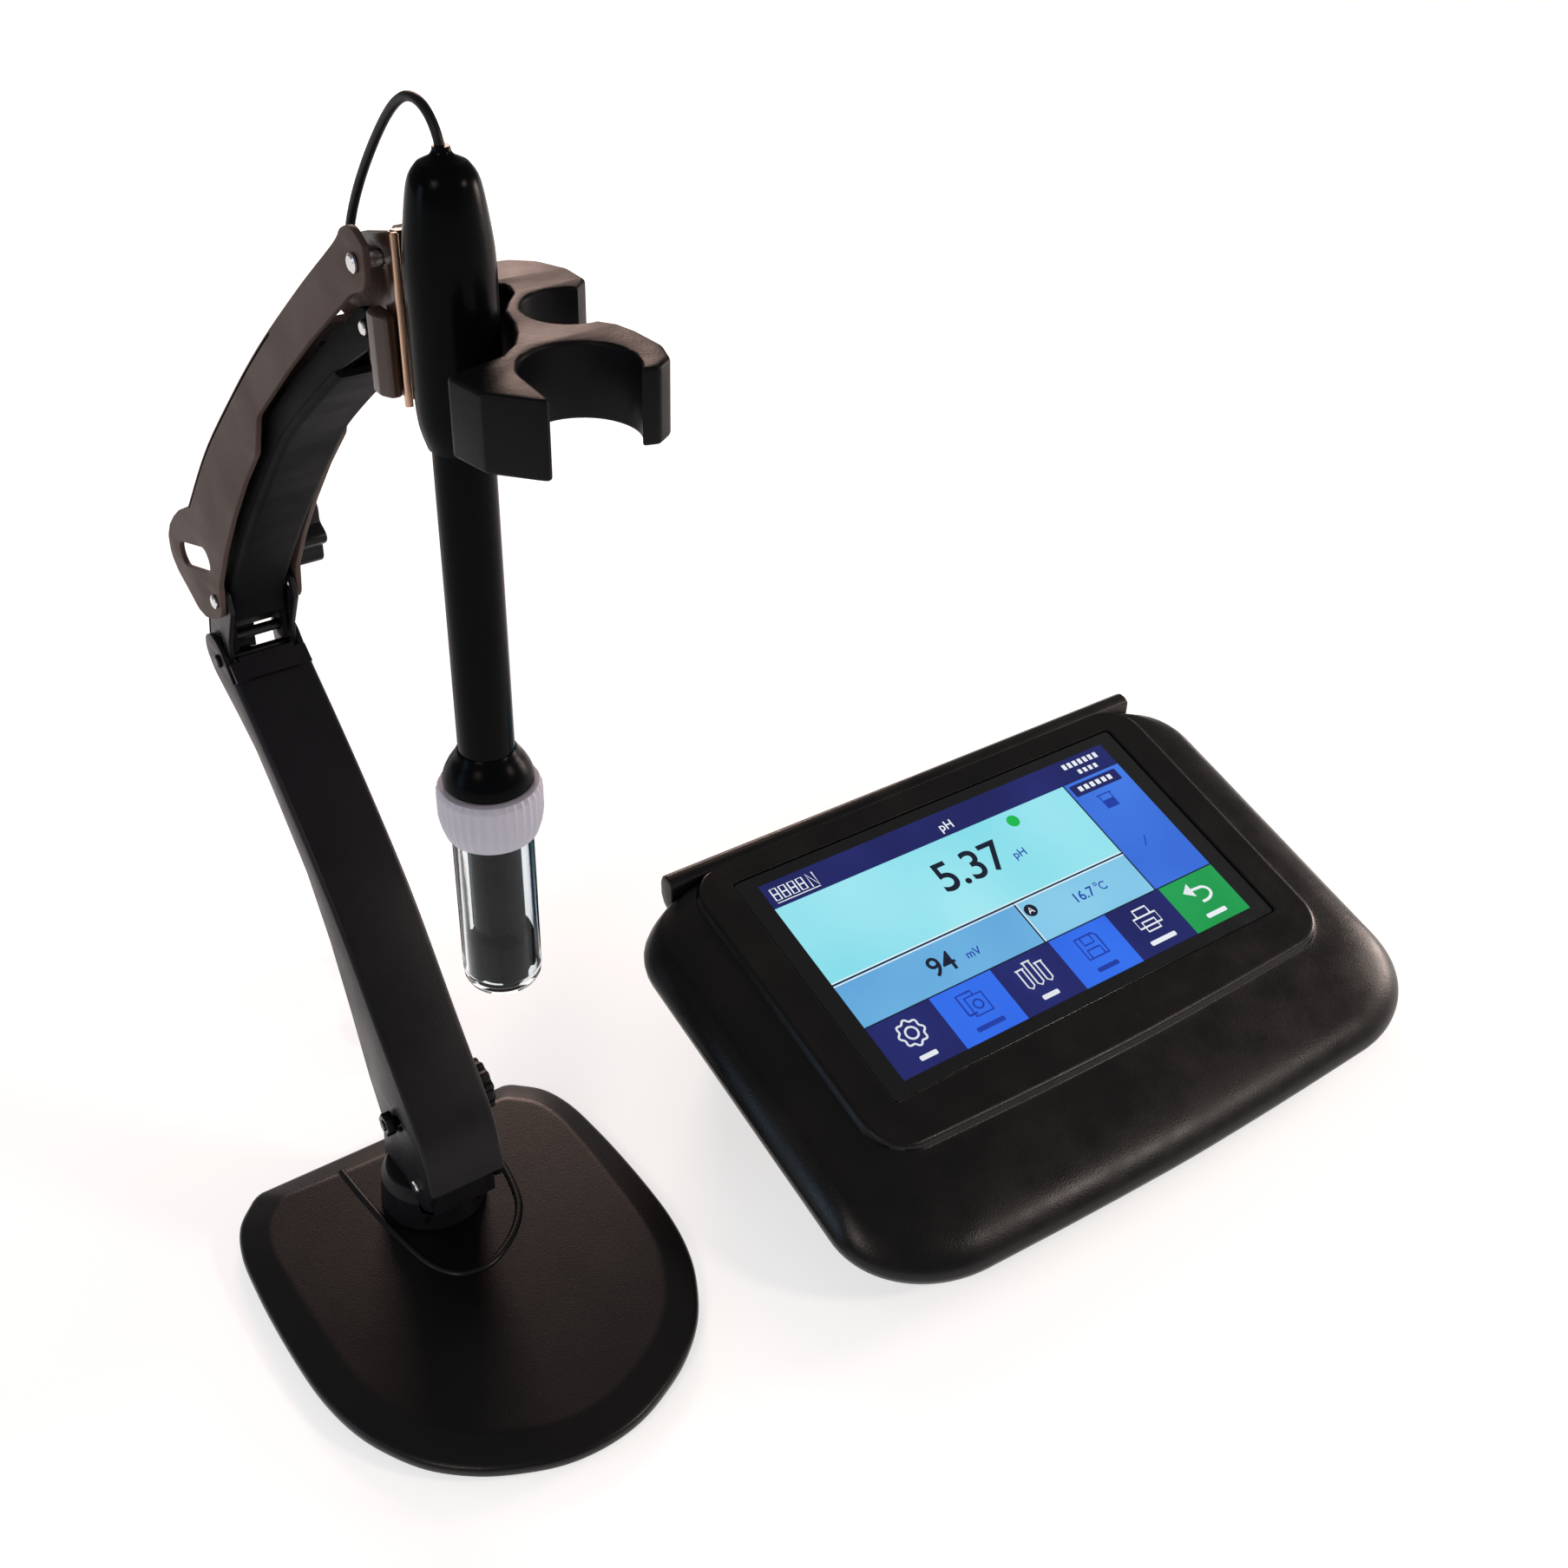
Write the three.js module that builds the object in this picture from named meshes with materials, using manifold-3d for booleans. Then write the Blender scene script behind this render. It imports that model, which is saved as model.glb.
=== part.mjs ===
// Benchtop pH meter with an electrode stand. Millimetres, +Z up.
import * as THREE from 'three';
import { mergeVertices } from 'three/addons/utils/BufferGeometryUtils.js';
import Module from 'manifold-3d';

const wasm = await Module();
wasm.setup();

// ---- frame -----------------------------------------------------------------
// Points are written about the middle of the display's front edge line, on the table, and the whole
// set is moved by ORIGIN at the end, so that zero is the middle of its box, on the table.
const ORIGIN = new THREE.Vector3(71.95, -62.85, 0);
const STAND_X = -206;
const GAP = 0.3;

// ---- meter -----------------------------------------------------------------
const TILT = THREE.MathUtils.degToRad(16.1);
const DISPLAY_Z = 40;
const WALL = 2.6;
const SEAM_DROP = 16;
const REAR_Y = 92;
const CASE_FLOOR = 3.2;
const FOOT = { radius: 6, height: 2.9, x: 74, front: -30, rear: 76 };
const SCREW = { head: 3, shank: 1.5, x: 74 };
const GLASS = { halfWidth: 84, front: -5, rear: 87.5, top: -0.6, thickness: 1.2 };
const LCD = { halfWidth: 80, front: -3, rear: 84, thickness: 5 };
const PANEL = { halfWidth: 78, low: 12, high: 42, thickness: 2.2 };

// ---- stand -----------------------------------------------------------------
const ARM_HALF = 11.9;
const PLATE_HALF = 10.1;
const INNER_HALF = 8.3;
const SHEET = 1.5;
const SWIVEL_Y = 66;
const GROOVE_TURN = THREE.MathUtils.degToRad(-25.7);
const BASE = { low: 2, high: 8.6 };
const A1 = [49, 34];
const A2 = [53.25, 30.5];
const B1 = [152, 159.3];
const B2 = [156.25, 155.8];
const Q_OUTER = [145.7, 182];
const Q_INNER = [151.9, 166];
const P_OUTER = [23.5, 316.2];
const P_INNER = [29.7, 300.2];
const BASE_BOLT = [61, 50.5];
const ELBOW_BOLT = [154.5, 193];
const PIN = 1.5;
const HOLE = 1.85;
const BOLT = 1.6;

// ---- electrode -------------------------------------------------------------
const PROBE_Y = 6.2;
const CABLE = 1;

// ---- colours ---------------------------------------------------------------
const BLACK = 0x1b1b1e;
const GREY = 0x55585e;
const STEEL = 0xb8bcc2;
const CLEAR = 0xcfe3ea;
const BLUE = 0x2b4f8c;

const group = new THREE.Group();
group.name = 'ph_meter';

function addNode(name, geometry, colour) {
  const material = new THREE.MeshStandardMaterial({ color: colour, name: `${name}_colour` });
  const mesh = new THREE.Mesh(geometry, material);
  mesh.name = name;
  group.add(mesh);
}

// ---- shapes ----------------------------------------------------------------
const vector = (point) => new THREE.Vector2(point[0], point[1]);

function tidy(geometry) {
  geometry.deleteAttribute('normal');
  geometry.deleteAttribute('uv');
  const merged = mergeVertices(geometry, 1e-4);
  merged.computeVertexNormals();
  return merged;
}

function plan(points, low, high, holes = []) {
  const shape = new THREE.Shape(points.map(vector));
  shape.holes = holes.map((hole) => new THREE.Path(hole.map(vector)));
  const geometry = new THREE.ExtrudeGeometry(shape, { depth: high - low, bevelEnabled: false });
  geometry.translate(0, 0, low);
  return tidy(geometry);
}

// A side profile in (y, z), extruded along x from one offset of the stand's middle plane to another.
function side(points, from, to) {
  const geometry = plan(points, from, to);
  const turn = new THREE.Matrix4().set(0, 0, 1, STAND_X, 1, 0, 0, 0, 0, 1, 0, 0, 0, 0, 0, 1);
  return geometry.applyMatrix4(turn);
}

function box(x0, x1, y0, y1, z0, z1) {
  const geometry = new THREE.BoxGeometry(x1 - x0, y1 - y0, z1 - z0);
  geometry.translate((x0 + x1) / 2, (y0 + y1) / 2, (z0 + z1) / 2);
  return tidy(geometry);
}

function lathe(profile, sides) {
  const geometry = new THREE.LatheGeometry(profile.map(vector), sides);
  geometry.rotateX(Math.PI / 2);
  return tidy(geometry);
}

const upright = (profile, sides, x, y) => lathe(profile, sides).translate(x, y, 0);

// A turned piece whose axis runs along +x through (y, z); its profile's heights are stand offsets.
function across(profile, sides, centre) {
  return lathe(profile, sides).rotateY(Math.PI / 2).translate(STAND_X, centre[0], centre[1]);
}

const rod = (radius, from, to, centre, sides = 12) =>
  across([[0, from], [radius, from], [radius, to], [0, to]], sides, centre);

function circle(radius, count, centre = [0, 0], from = 0, sweep = 2 * Math.PI) {
  const points = [];
  const last = sweep < 2 * Math.PI ? count : count - 1;
  for (let i = 0; i <= last; i += 1) {
    const angle = from + (sweep * i) / count;
    points.push([centre[0] + radius * Math.cos(angle), centre[1] + radius * Math.sin(angle)]);
  }
  return points;
}

// A slot bent round a pivot, from one angle to another, in degrees.
function arcSlot(pivot, radius, half, fromDegrees, toDegrees) {
  const from = THREE.MathUtils.degToRad(fromDegrees);
  const to = THREE.MathUtils.degToRad(toDegrees);
  const end = (angle) => [pivot[0] + radius * Math.cos(angle), pivot[1] + radius * Math.sin(angle)];
  return [
    ...circle(radius + half, 8, pivot, from, to - from),
    ...circle(half, 6, end(to), to, Math.PI),
    ...circle(radius - half, 6, pivot, to, from - to),
    ...circle(half, 6, end(from), from + Math.PI, Math.PI),
  ];
}

// ---- solids ----------------------------------------------------------------
function toManifold(geometry) {
  const mesh = new wasm.Mesh({
    numProp: 3,
    vertProperties: new Float32Array(geometry.attributes.position.array),
    triVerts: new Uint32Array(geometry.index.array),
  });
  return new wasm.Manifold(mesh);
}

function fromManifold(manifold) {
  const mesh = manifold.getMesh();
  const geometry = new THREE.BufferGeometry();
  geometry.setAttribute('position', new THREE.BufferAttribute(new Float32Array(mesh.vertProperties), 3));
  geometry.setIndex(new THREE.BufferAttribute(new Uint32Array(mesh.triVerts), 1));
  geometry.computeVertexNormals();
  return geometry;
}

function joined(...pieces) {
  return fromManifold(pieces.map(toManifold).reduce((sum, piece) => sum.add(piece)));
}

function cut(body, ...tools) {
  return fromManifold(tools.map(toManifold).reduce((rest, tool) => rest.subtract(tool), toManifold(body)));
}

// Rings of equal count, each a list of 3-D points, skinned in order and closed at both ends.
function loft(rings) {
  const count = rings[0].length;
  const points = rings.flat();
  const faces = [];
  for (let r = 0; r + 1 < rings.length; r += 1) {
    for (let i = 0; i < count; i += 1) {
      const a = r * count + i;
      const b = r * count + ((i + 1) % count);
      faces.push(a, b, b + count, a, b + count, a + count);
    }
  }
  const cap = (ring, flip) => {
    const middle = ring.reduce((sum, p) => sum.add(p), new THREE.Vector3()).divideScalar(count);
    const centre = points.push(middle) - 1;
    const base = rings.indexOf(ring) * count;
    for (let i = 0; i < count; i += 1) {
      const a = base + i;
      const b = base + ((i + 1) % count);
      faces.push(...(flip ? [centre, b, a] : [centre, a, b]));
    }
  };
  cap(rings[0], true);
  cap(rings[rings.length - 1], false);
  const geometry = new THREE.BufferGeometry();
  const flat = points.flatMap((p) => [p.x, p.y, p.z]);
  geometry.setAttribute('position', new THREE.BufferAttribute(new Float32Array(flat), 3));
  geometry.setIndex(faces);
  geometry.computeVertexNormals();
  return geometry;
}

// ---- meter case ------------------------------------------------------------
// The case is drawn in the display's own frame: x across, s up the slope, h out of the glass.
const onSlope = (x, s, h) =>
  new THREE.Vector3(
    x,
    s * Math.cos(TILT) - h * Math.sin(TILT),
    DISPLAY_Z + s * Math.sin(TILT) + h * Math.cos(TILT),
  );

// The s of the point on the slope at height h whose y is given.
const slopeAt = (y, h) => (y + h * Math.sin(TILT)) / Math.cos(TILT);

function caseOutline(half, front, rear, corner, rearCorner, bow) {
  const right = [];
  for (let i = 0; i <= 3; i += 1) {
    const angle = (Math.PI / 2) * (1 - i / 3);
    right.push([
      half - rearCorner + rearCorner * Math.cos(angle),
      rear - rearCorner + rearCorner * Math.sin(angle),
    ]);
  }
  for (let i = 0; i <= 8; i += 1) {
    const angle = (-Math.PI / 2) * (i / 8);
    right.push([
      half - corner[0] + corner[0] * Math.cos(angle),
      front + bow + corner[1] + corner[1] * Math.sin(angle),
    ]);
  }
  right.push([(half - corner[0]) / 2, front + bow / 4]);
  const left = right.map(([x, s]) => [-x, s]).reverse();
  return [...right, ...left].reverse();
}

function caseRing(h, half, front, rearY, corner, rearCorner, bow) {
  const outline = caseOutline(half, front, slopeAt(rearY, h), corner, rearCorner, bow);
  return outline.map(([x, s]) => onSlope(x, s, h));
}

// From the seam up over the flank to the raised bezel: height, half width, front, corner.
const FLANK = [
  [-SEAM_DROP, 121.2, -60.7, [40, 30]],
  [-13, 121.5, -60.9, [40, 30]],
  [-10, 119.9, -58.6, [38, 29]],
  [-7, 117, -53.6, [36, 28]],
  [-5, 113.6, -46.4, [33, 26]],
  [-3.4, 107.5, -36.5, [27, 22]],
  [-2.4, 99.6, -25, [18, 17]],
  [-0.7, 97.8, -22.6, [14, 14]],
  [0, 96.4, -21.2, [12.6, 12.6]],
];

function upperCase() {
  const outer = FLANK.map(([h, half, front, corner]) =>
    caseRing(h, half, front, REAR_Y, corner, h < -3 ? 18 : 12, 2));
  const inner = FLANK.filter(([h]) => h < -2 && h !== -3.4).map(([h, half, front, corner]) =>
    caseRing(h - (h < -12 ? 0 : WALL * 0.7), half - WALL, front + WALL, REAR_Y - WALL,
      [corner[0] - WALL, corner[1] - WALL], h < -3 ? 15.4 : 9.4, 2));
  const shell = loft([...inner.reverse(), ...outer]);
  const seat = [
    [-GLASS.halfWidth - GAP, GLASS.front - GAP], [GLASS.halfWidth + GAP, GLASS.front - GAP],
    [GLASS.halfWidth + GAP, GLASS.rear + GAP], [-GLASS.halfWidth - GAP, GLASS.rear + GAP],
  ];
  return cut(shell, slab(seat, -12, 3));
}

// A flat outline on the slope between two heights.
function slab(points, low, high) {
  const turn = new THREE.Matrix4().makeRotationX(TILT).setPosition(0, 0, DISPLAY_Z);
  return plan(points, low, high).applyMatrix4(turn);
}

function roundedRect(x0, x1, y0, y1, radius) {
  return [
    ...circle(radius, 4, [x1 - radius, y0 + radius], -Math.PI / 2, Math.PI / 2),
    ...circle(radius, 4, [x1 - radius, y1 - radius], 0, Math.PI / 2),
    ...circle(radius, 4, [x0 + radius, y1 - radius], Math.PI / 2, Math.PI / 2),
    ...circle(radius, 4, [x0 + radius, y0 + radius], Math.PI, Math.PI / 2),
  ];
}

const SOCKETS = [
  { name: 'bnc_socket', x: -62, z: 27, hole: 6.3 },
  { name: 'reference_socket', x: -40, z: 27, hole: 4.3 },
  { name: 'temperature_socket', x: -20, z: 27, hole: 5.3 },
  { name: 'power_jack', x: 34, z: 27, hole: 4.8 },
];

// The tray under the seam: a wedge with a flat floor, its rear wall open for the connector panel.
function lowerCase() {
  const top = -SEAM_DROP - GAP;
  const rim = caseOutline(119.4, -58.9, slopeAt(REAR_Y, top), [38, 28], 17, 2);
  const floor = caseOutline(92, -44, REAR_Y, [30, 24], 10, 2);
  const innerRim = caseOutline(119.4 - WALL, -58.9 + WALL, slopeAt(REAR_Y - WALL, top),
    [35.4, 25.4], 14.4, 2);
  const innerFloor = caseOutline(86.5, -26, REAR_Y - WALL, [27, 16], 7.4, 2);
  const flat = (outline, z) => outline.map(([x, y]) => new THREE.Vector3(x, y, z));
  return loft([
    flat(innerFloor, CASE_FLOOR + WALL),
    innerRim.map(([x, s]) => onSlope(x, s, top)),
    rim.map(([x, s]) => onSlope(x, s, top)),
    flat(floor, CASE_FLOOR),
  ]);
}

function flipped(geometry) {
  const index = geometry.index.array;
  for (let i = 0; i < index.length; i += 3) {
    [index[i], index[i + 1]] = [index[i + 1], index[i]];
  }
  geometry.computeVertexNormals();
  return geometry;
}

function meter() {
  addNode('upper_case', upperCase(), BLACK);
  const window = box(-PANEL.halfWidth - GAP, PANEL.halfWidth + GAP, REAR_Y - 8, REAR_Y + 8,
    PANEL.low - GAP, PANEL.high + GAP);
  const rows = [FOOT.front + 20, FOOT.rear - 14];
  const screws = [-1, 1].flatMap((hand) => rows.map((y) => [hand * SCREW.x, y]));
  const bores = screws.map(([x, y]) =>
    upright([[0, 0], [SCREW.head + GAP, 0], [SCREW.head + GAP, 5], [SCREW.shank + GAP, 5],
      [SCREW.shank + GAP, 9], [0, 9]], 12, x, y));
  addNode('lower_case', cut(flipped(lowerCase()), window, ...bores), BLACK);
  screws.forEach(([x, y], i) => {
    const profile = [[0, 3.4], [SCREW.head, 3.4], [SCREW.head, 4.7], [SCREW.shank, 4.7],
      [SCREW.shank, 14], [0, 14]];
    addNode(`case_screw_${i + 1}`, upright(profile, 12, x, y), STEEL);
  });
  [[-1, FOOT.front], [1, FOOT.front], [-1, FOOT.rear], [1, FOOT.rear]].forEach(([hand, y], i) => {
    const profile = [[0, 0], [FOOT.radius - 0.6, 0], [FOOT.radius, 0.6], [FOOT.radius, FOOT.height],
      [0, FOOT.height]];
    addNode(`foot_${i + 1}`, upright(profile, 20, hand * FOOT.x, y), BLACK);
  });

  const glass = roundedRect(-GLASS.halfWidth, GLASS.halfWidth, GLASS.front, GLASS.rear, 1.5);
  addNode('display_glass', slab(glass, GLASS.top - GLASS.thickness, GLASS.top), BLUE);
  const lcdTop = GLASS.top - GLASS.thickness - GAP;
  const lcd = [[-LCD.halfWidth, LCD.front], [LCD.halfWidth, LCD.front], [LCD.halfWidth, LCD.rear],
    [-LCD.halfWidth, LCD.rear]];
  addNode('lcd_module', slab(lcd, lcdTop - LCD.thickness, lcdTop), GREY);

  const bar = [[REAR_Y + GAP, 54], [REAR_Y + GAP, 65.8], [94.4, 67], [96.6, 67.3], [98.6, 66],
    [99.4, 63.6], [99.2, 59], [97.6, 55.6], [95, 54]];
  addNode('rear_trim_bar', side(bar, -STAND_X - 102.6, -STAND_X + 102.6), BLACK);

  rearPanel();
}

// Turned connectors lie along y through the panel.
function socket(profile, x, z) {
  return lathe(profile, 16).rotateX(-Math.PI / 2).translate(x, REAR_Y, z);
}

function rearPanel() {
  const t = PANEL.thickness;
  const plate = box(-PANEL.halfWidth, PANEL.halfWidth, REAR_Y - t, REAR_Y, PANEL.low, PANEL.high);
  const bores = SOCKETS.map(({ x, z, hole }) =>
    socket([[0, -6], [hole, -6], [hole, 6], [0, 6]], x, z));
  const usb = box(7 - GAP, 21 + GAP, REAR_Y - 6, REAR_Y + 6, 23.6 - GAP, 30.4 + GAP);
  const rocker = box(51.2, 61.8, REAR_Y - 6, REAR_Y + 6, 18, 36);
  addNode('rear_panel', cut(plate, ...bores, usb, rocker), GREY);

  const bnc = [[2.2, -14], [6, -14], [6, 1], [7.6, 1], [7.6, 3.4], [4.8, 3.4], [4.8, 12], [3.9, 12],
    [3.9, 3], [2.2, 3], [2.2, -14]];
  addNode('bnc_socket', socket(bnc, SOCKETS[0].x, SOCKETS[0].z), STEEL);
  const jack = (bore, radius) => [[bore, -12], [radius, -12], [radius, 0.6], [radius + 2, 0.6],
    [radius + 2, 2.6], [radius, 4], [bore, 4], [bore, -12]];
  addNode('reference_socket', socket(jack(1.4, 4), SOCKETS[1].x, SOCKETS[1].z), BLACK);
  addNode('temperature_socket', socket(jack(3.4, 5), SOCKETS[2].x, SOCKETS[2].z), STEEL);
  addNode('power_jack', socket(jack(3.2, 4.5), SOCKETS[3].x, SOCKETS[3].z), BLACK);
  const shell = box(7, 21, REAR_Y - 14, REAR_Y + 0.8, 23.6, 30.4);
  const mouth = box(8, 20, REAR_Y - 9, REAR_Y + 3, 24.6, 29.4);
  addNode('usb_port', cut(shell, mouth), STEEL);
  const profile = [[-7, 22.5], [-7, 31.5], [0.4, 34.8], [2.4, 34.8], [1.4, 27], [2.4, 19.2],
    [0.4, 19.2]].map(([y, z]) => [REAR_Y + y, z]);
  addNode('power_rocker', side(profile, -STAND_X + 51.9, -STAND_X + 61.1), BLACK);
}

// ---- stand base ------------------------------------------------------------
const BASE_RIGHT = [
  [0, -37.4], [11, -36.2], [21.5, -32.4], [33, -26], [43.5, -16.4], [51, -4.2], [55.2, 7], [57.6, 20],
  [58.4, 34], [58.4, 50], [57.8, 64], [56.4, 78], [53, 88.5], [47.5, 95], [42, 98.6],
];

function baseOutline(inset) {
  const all = [...BASE_RIGHT, ...BASE_RIGHT.slice(1).map(([x, y]) => [-x, y]).reverse()];
  return all.map(([x, y]) => {
    const reach = Math.hypot(x, y - 32);
    const keep = (reach - inset) / reach;
    return [STAND_X - 1 + x * keep, 32 + (y - 32) * keep];
  });
}

const levelRing = (outline, z) => outline.map(([x, y]) => new THREE.Vector3(x, y, z));

// A round bar swept along a list of 3-D points.
function swept(points, radius, sides, steps) {
  const shape = new THREE.Shape(circle(radius, sides).map(vector));
  const path = new THREE.CatmullRomCurve3(points.map((p) => new THREE.Vector3(...p)));
  return tidy(new THREE.ExtrudeGeometry(shape, { steps, bevelEnabled: false, extrudePath: path }));
}

function standBase() {
  const plate = loft([
    levelRing(baseOutline(1.2), BASE.low), levelRing(baseOutline(0), BASE.low + 1.6),
    levelRing(baseOutline(0), BASE.high - 3.8), levelRing(baseOutline(1.4), BASE.high - 2.6),
    levelRing(baseOutline(9.6), BASE.high),
  ]);
  const loop = [[22.9, 90], [22.9, 78], [22.9, 66.9], [21.6, 56.4], [19.5, 48.3], [14.3, 41.2], [6.6, 34.7],
    [1.4, 32.4], [-3.6, 32.4], [-9.3, 35], [-13.9, 43.2], [-17, 59], [-18.7, 75], [-19.8, 90]];
  const bead = swept(loop.map(([x, y]) => [STAND_X + x, y, 8.1]), 1.3, 8, 30);
  const well = [[0, 0], [10, 0], [10, 5.2], [5.3, 5.2], [5.3, 12], [0, 12]];
  const recess = upright(well, 24, STAND_X, SWIVEL_Y);
  const channel = (low, high) =>
    box(-2.2, 2.2, 0, 50, low, high).rotateZ(GROOVE_TURN).translate(STAND_X, SWIVEL_Y, 0);
  addNode('base_plate', cut(joined(plate, bead), recess, channel(0, 5.2)), BLACK);
  const pad = plan(baseOutline(4), 0, BASE.low - GAP);
  const padHole = upright([[0, -1], [7, -1], [7, 4], [0, 4]], 20, STAND_X, SWIVEL_Y);
  addNode('base_pad', cut(pad, padHole, channel(-1, 5)), GREY);

  const sleeve = [[3, 5.4], [5, 5.4], [5, 24.3], [6.6, 24.3], [6.6, 27], [3, 27], [3, 5.4]];
  addNode('pivot_sleeve', upright(sleeve, 24, STAND_X, SWIVEL_Y), STEEL);
}

function turret() {
  const hub = upright([[0, 9], [15.5, 9], [16, 10], [15.2, 20], [13.6, 24], [0, 24]], 24, STAND_X, SWIVEL_Y);
  const toe = side([[43.2, 25.4], [43.2, 33.4], [45, 34.4], [56, 24], [56, 18], [52, 18]], -9.9, 9.9);
  const cheek = [[53, 12], [50.5, 19], [43.2, 25.4], [43, 37], [47, 41], [56, 56.5], [62, 58.5], [68, 57], [75, 44], [78, 12]];
  const blocks = [side(cheek, -9.9, -7), side(cheek, 7, 9.9)];
  const bore = upright([[0, 5], [5.35, 5], [5.35, 30], [0, 30]], 24, STAND_X, SWIVEL_Y);
  const well = side([[44.6, 21.3], [44.6, 70], [60, 70], [60, 28], [56, 21.3]], -7, 7);
  const pins = [A1, A2].map((at) => rod(HOLE, -12, 12, at, 12));
  const bolt = rod(BOLT + GAP, -12, 12, BASE_BOLT, 12);
  addNode('turret', cut(joined(hub, toe, ...blocks), bore, well, ...pins, bolt), BLACK);
}

// ---- arms ------------------------------------------------------------------
const LOWER_FRONT = [[38.5, 38], [43.7, 54], [53.5, 67.6], [63.7, 80.4], [81.4, 103.5], [94.5, 117.6],
  [111.5, 133.2], [125.4, 144.8], [141.5, 157.4]];

// A strip that follows a line of (y, z) points, between two distances to its right.
function strip(points, near, far) {
  const normals = points.map((p, i) => {
    const a = points[Math.max(i - 1, 0)];
    const b = points[Math.min(i + 1, points.length - 1)];
    const length = Math.hypot(b[0] - a[0], b[1] - a[1]);
    return [(b[1] - a[1]) / length, -(b[0] - a[0]) / length];
  });
  const offset = (d) => points.map((p, i) => [p[0] + normals[i][0] * d, p[1] + normals[i][1] * d]);
  return [...offset(near), ...offset(far).reverse()];
}

function pair(profile, half) {
  return [side(profile, -half, SHEET - half), side(profile, half - SHEET, half)];
}

function lowerArm() {
  const flange = [[38.5, 38], [43.7, 54], [53.5, 67.6], [63.7, 80.4], [81.4, 103.5], [94.5, 117.6],
    [111.5, 133.2], [125.4, 144.8], [151, 165], [156.4, 166.4], [161.4, 163.4], [161.8, 158.4],
    [157.4, 153.4], [142.6, 146], [131.8, 140], [123, 132.2], [104, 113.6], [93, 96], [84, 76],
    [76, 56], [70, 45], [60, 35], [54, 29.5], [49, 27.6], [43.5, 29.5]];
  const web = side(strip(LOWER_FRONT, 0, SHEET), -ARM_HALF, ARM_HALF);
  const pins = [A1, B1].map((at) => rod(HOLE, -14, 14, at, 12));
  const angle = THREE.MathUtils.radToDeg(Math.atan2(BASE_BOLT[1] - A1[1], BASE_BOLT[0] - A1[0]));
  const radius = Math.hypot(BASE_BOLT[1] - A1[1], BASE_BOLT[0] - A1[0]);
  const slot = side(arcSlot(A1, radius, 2.2, angle - 16, angle + 12), -14, 14);
  addNode('lower_arm_channel', cut(joined(web, ...pair(flange, ARM_HALF)), ...pins, slot), BLACK);

  const line = [[A2[0], A2[1]], [53.8, 47], [57.2, 59], [65, 73], [75, 88.3], [85, 100.6],
    [97.9, 114], [114.8, 129.8], [128.6, 141], [142.5, 149.4], [B2[0], B2[1]]];
  const eyes = [A2, B2].map((at) => side(circle(3, 16, at), -6.4, -0.4));
  const holes = [A2, B2].map((at) => rod(HOLE, -14, 14, at, 12));
  addNode('lower_link', cut(joined(side(strip(line, -1, 1), -6.4, -0.4), ...eyes), ...holes), GREY);
}

const OUTER_TOP = [[19, 320.6], [23.9, 323], [29, 321.4], [33.8, 316.9], [56.1, 300.2], [85.2, 277],
  [111.9, 253.3], [134.9, 231.3], [156.4, 206.8]];

function upperArm() {
  const flange = [...OUTER_TOP, [166, 201.4], [171.6, 197.2], [176.5, 192.6], [179.9, 187.5],
    [180.2, 181.6], [176, 177.6], [169.2, 174.6], [162.7, 171.4], [157, 171.4], [149, 174.6], [142.5, 178.6], [140.6, 189.4], [132, 203], [120.8, 218.1],
    [108.4, 233.1], [96, 246.4], [91.4, 258], [67.8, 277.9], [51.3, 291], [27.5, 308.5], [19, 312]];
  const web = side(strip([[71, 288.3], ...OUTER_TOP.slice(5)], SHEET, 0).reverse(), -ARM_HALF, ARM_HALF);
  const pins = [P_OUTER, Q_OUTER].map((at) => rod(HOLE, -14, 14, at, 12));
  const slot = side(arcSlot(Q_OUTER, 14.1, 3.7, 8, 74), 0, 14);
  const oval = side([...circle(3.6, 8, [149.6, 193.2], 1.24, Math.PI),
    ...circle(3.6, 8, [167, 187.2], 4.38, Math.PI)], -14, 0);
  addNode('upper_arm_channel', cut(joined(web, ...pair(flange, ARM_HALF)), ...pins, slot, oval), BLACK);

  const face = [[145.6, 174], [142.4, 184.6], [119.5, 214.5], [96.2, 241], [85.3, 252.6], [69.3, 266],
    [48, 282.4]];
  const inner = [[148, 162.6], [145.6, 174], [142.4, 184.6], [119.5, 214.5], [96.2, 241], [85.3, 252.6],
    [69.3, 266], [48, 282.4], [31, 295], [26.3, 298.2], [26.6, 303], [31, 304.6], [38, 299.8],
    [54.6, 287.6], [75, 272.4], [92.6, 257.2], [102.6, 246], [126, 219.4], [149, 189], [155.4, 172],
    [156.2, 166], [154.4, 162.4], [151.4, 161.6]];
  const innerWeb = side(strip(face, 0, SHEET), -INNER_HALF, INNER_HALF);
  const holes = [P_INNER, Q_INNER].map((at) => rod(HOLE, -14, 14, at, 12));
  const flanges = pair(inner, INNER_HALF);
  addNode('upper_inner_channel', cut(joined(innerWeb, ...flanges), ...holes), BLACK);
}

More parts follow.
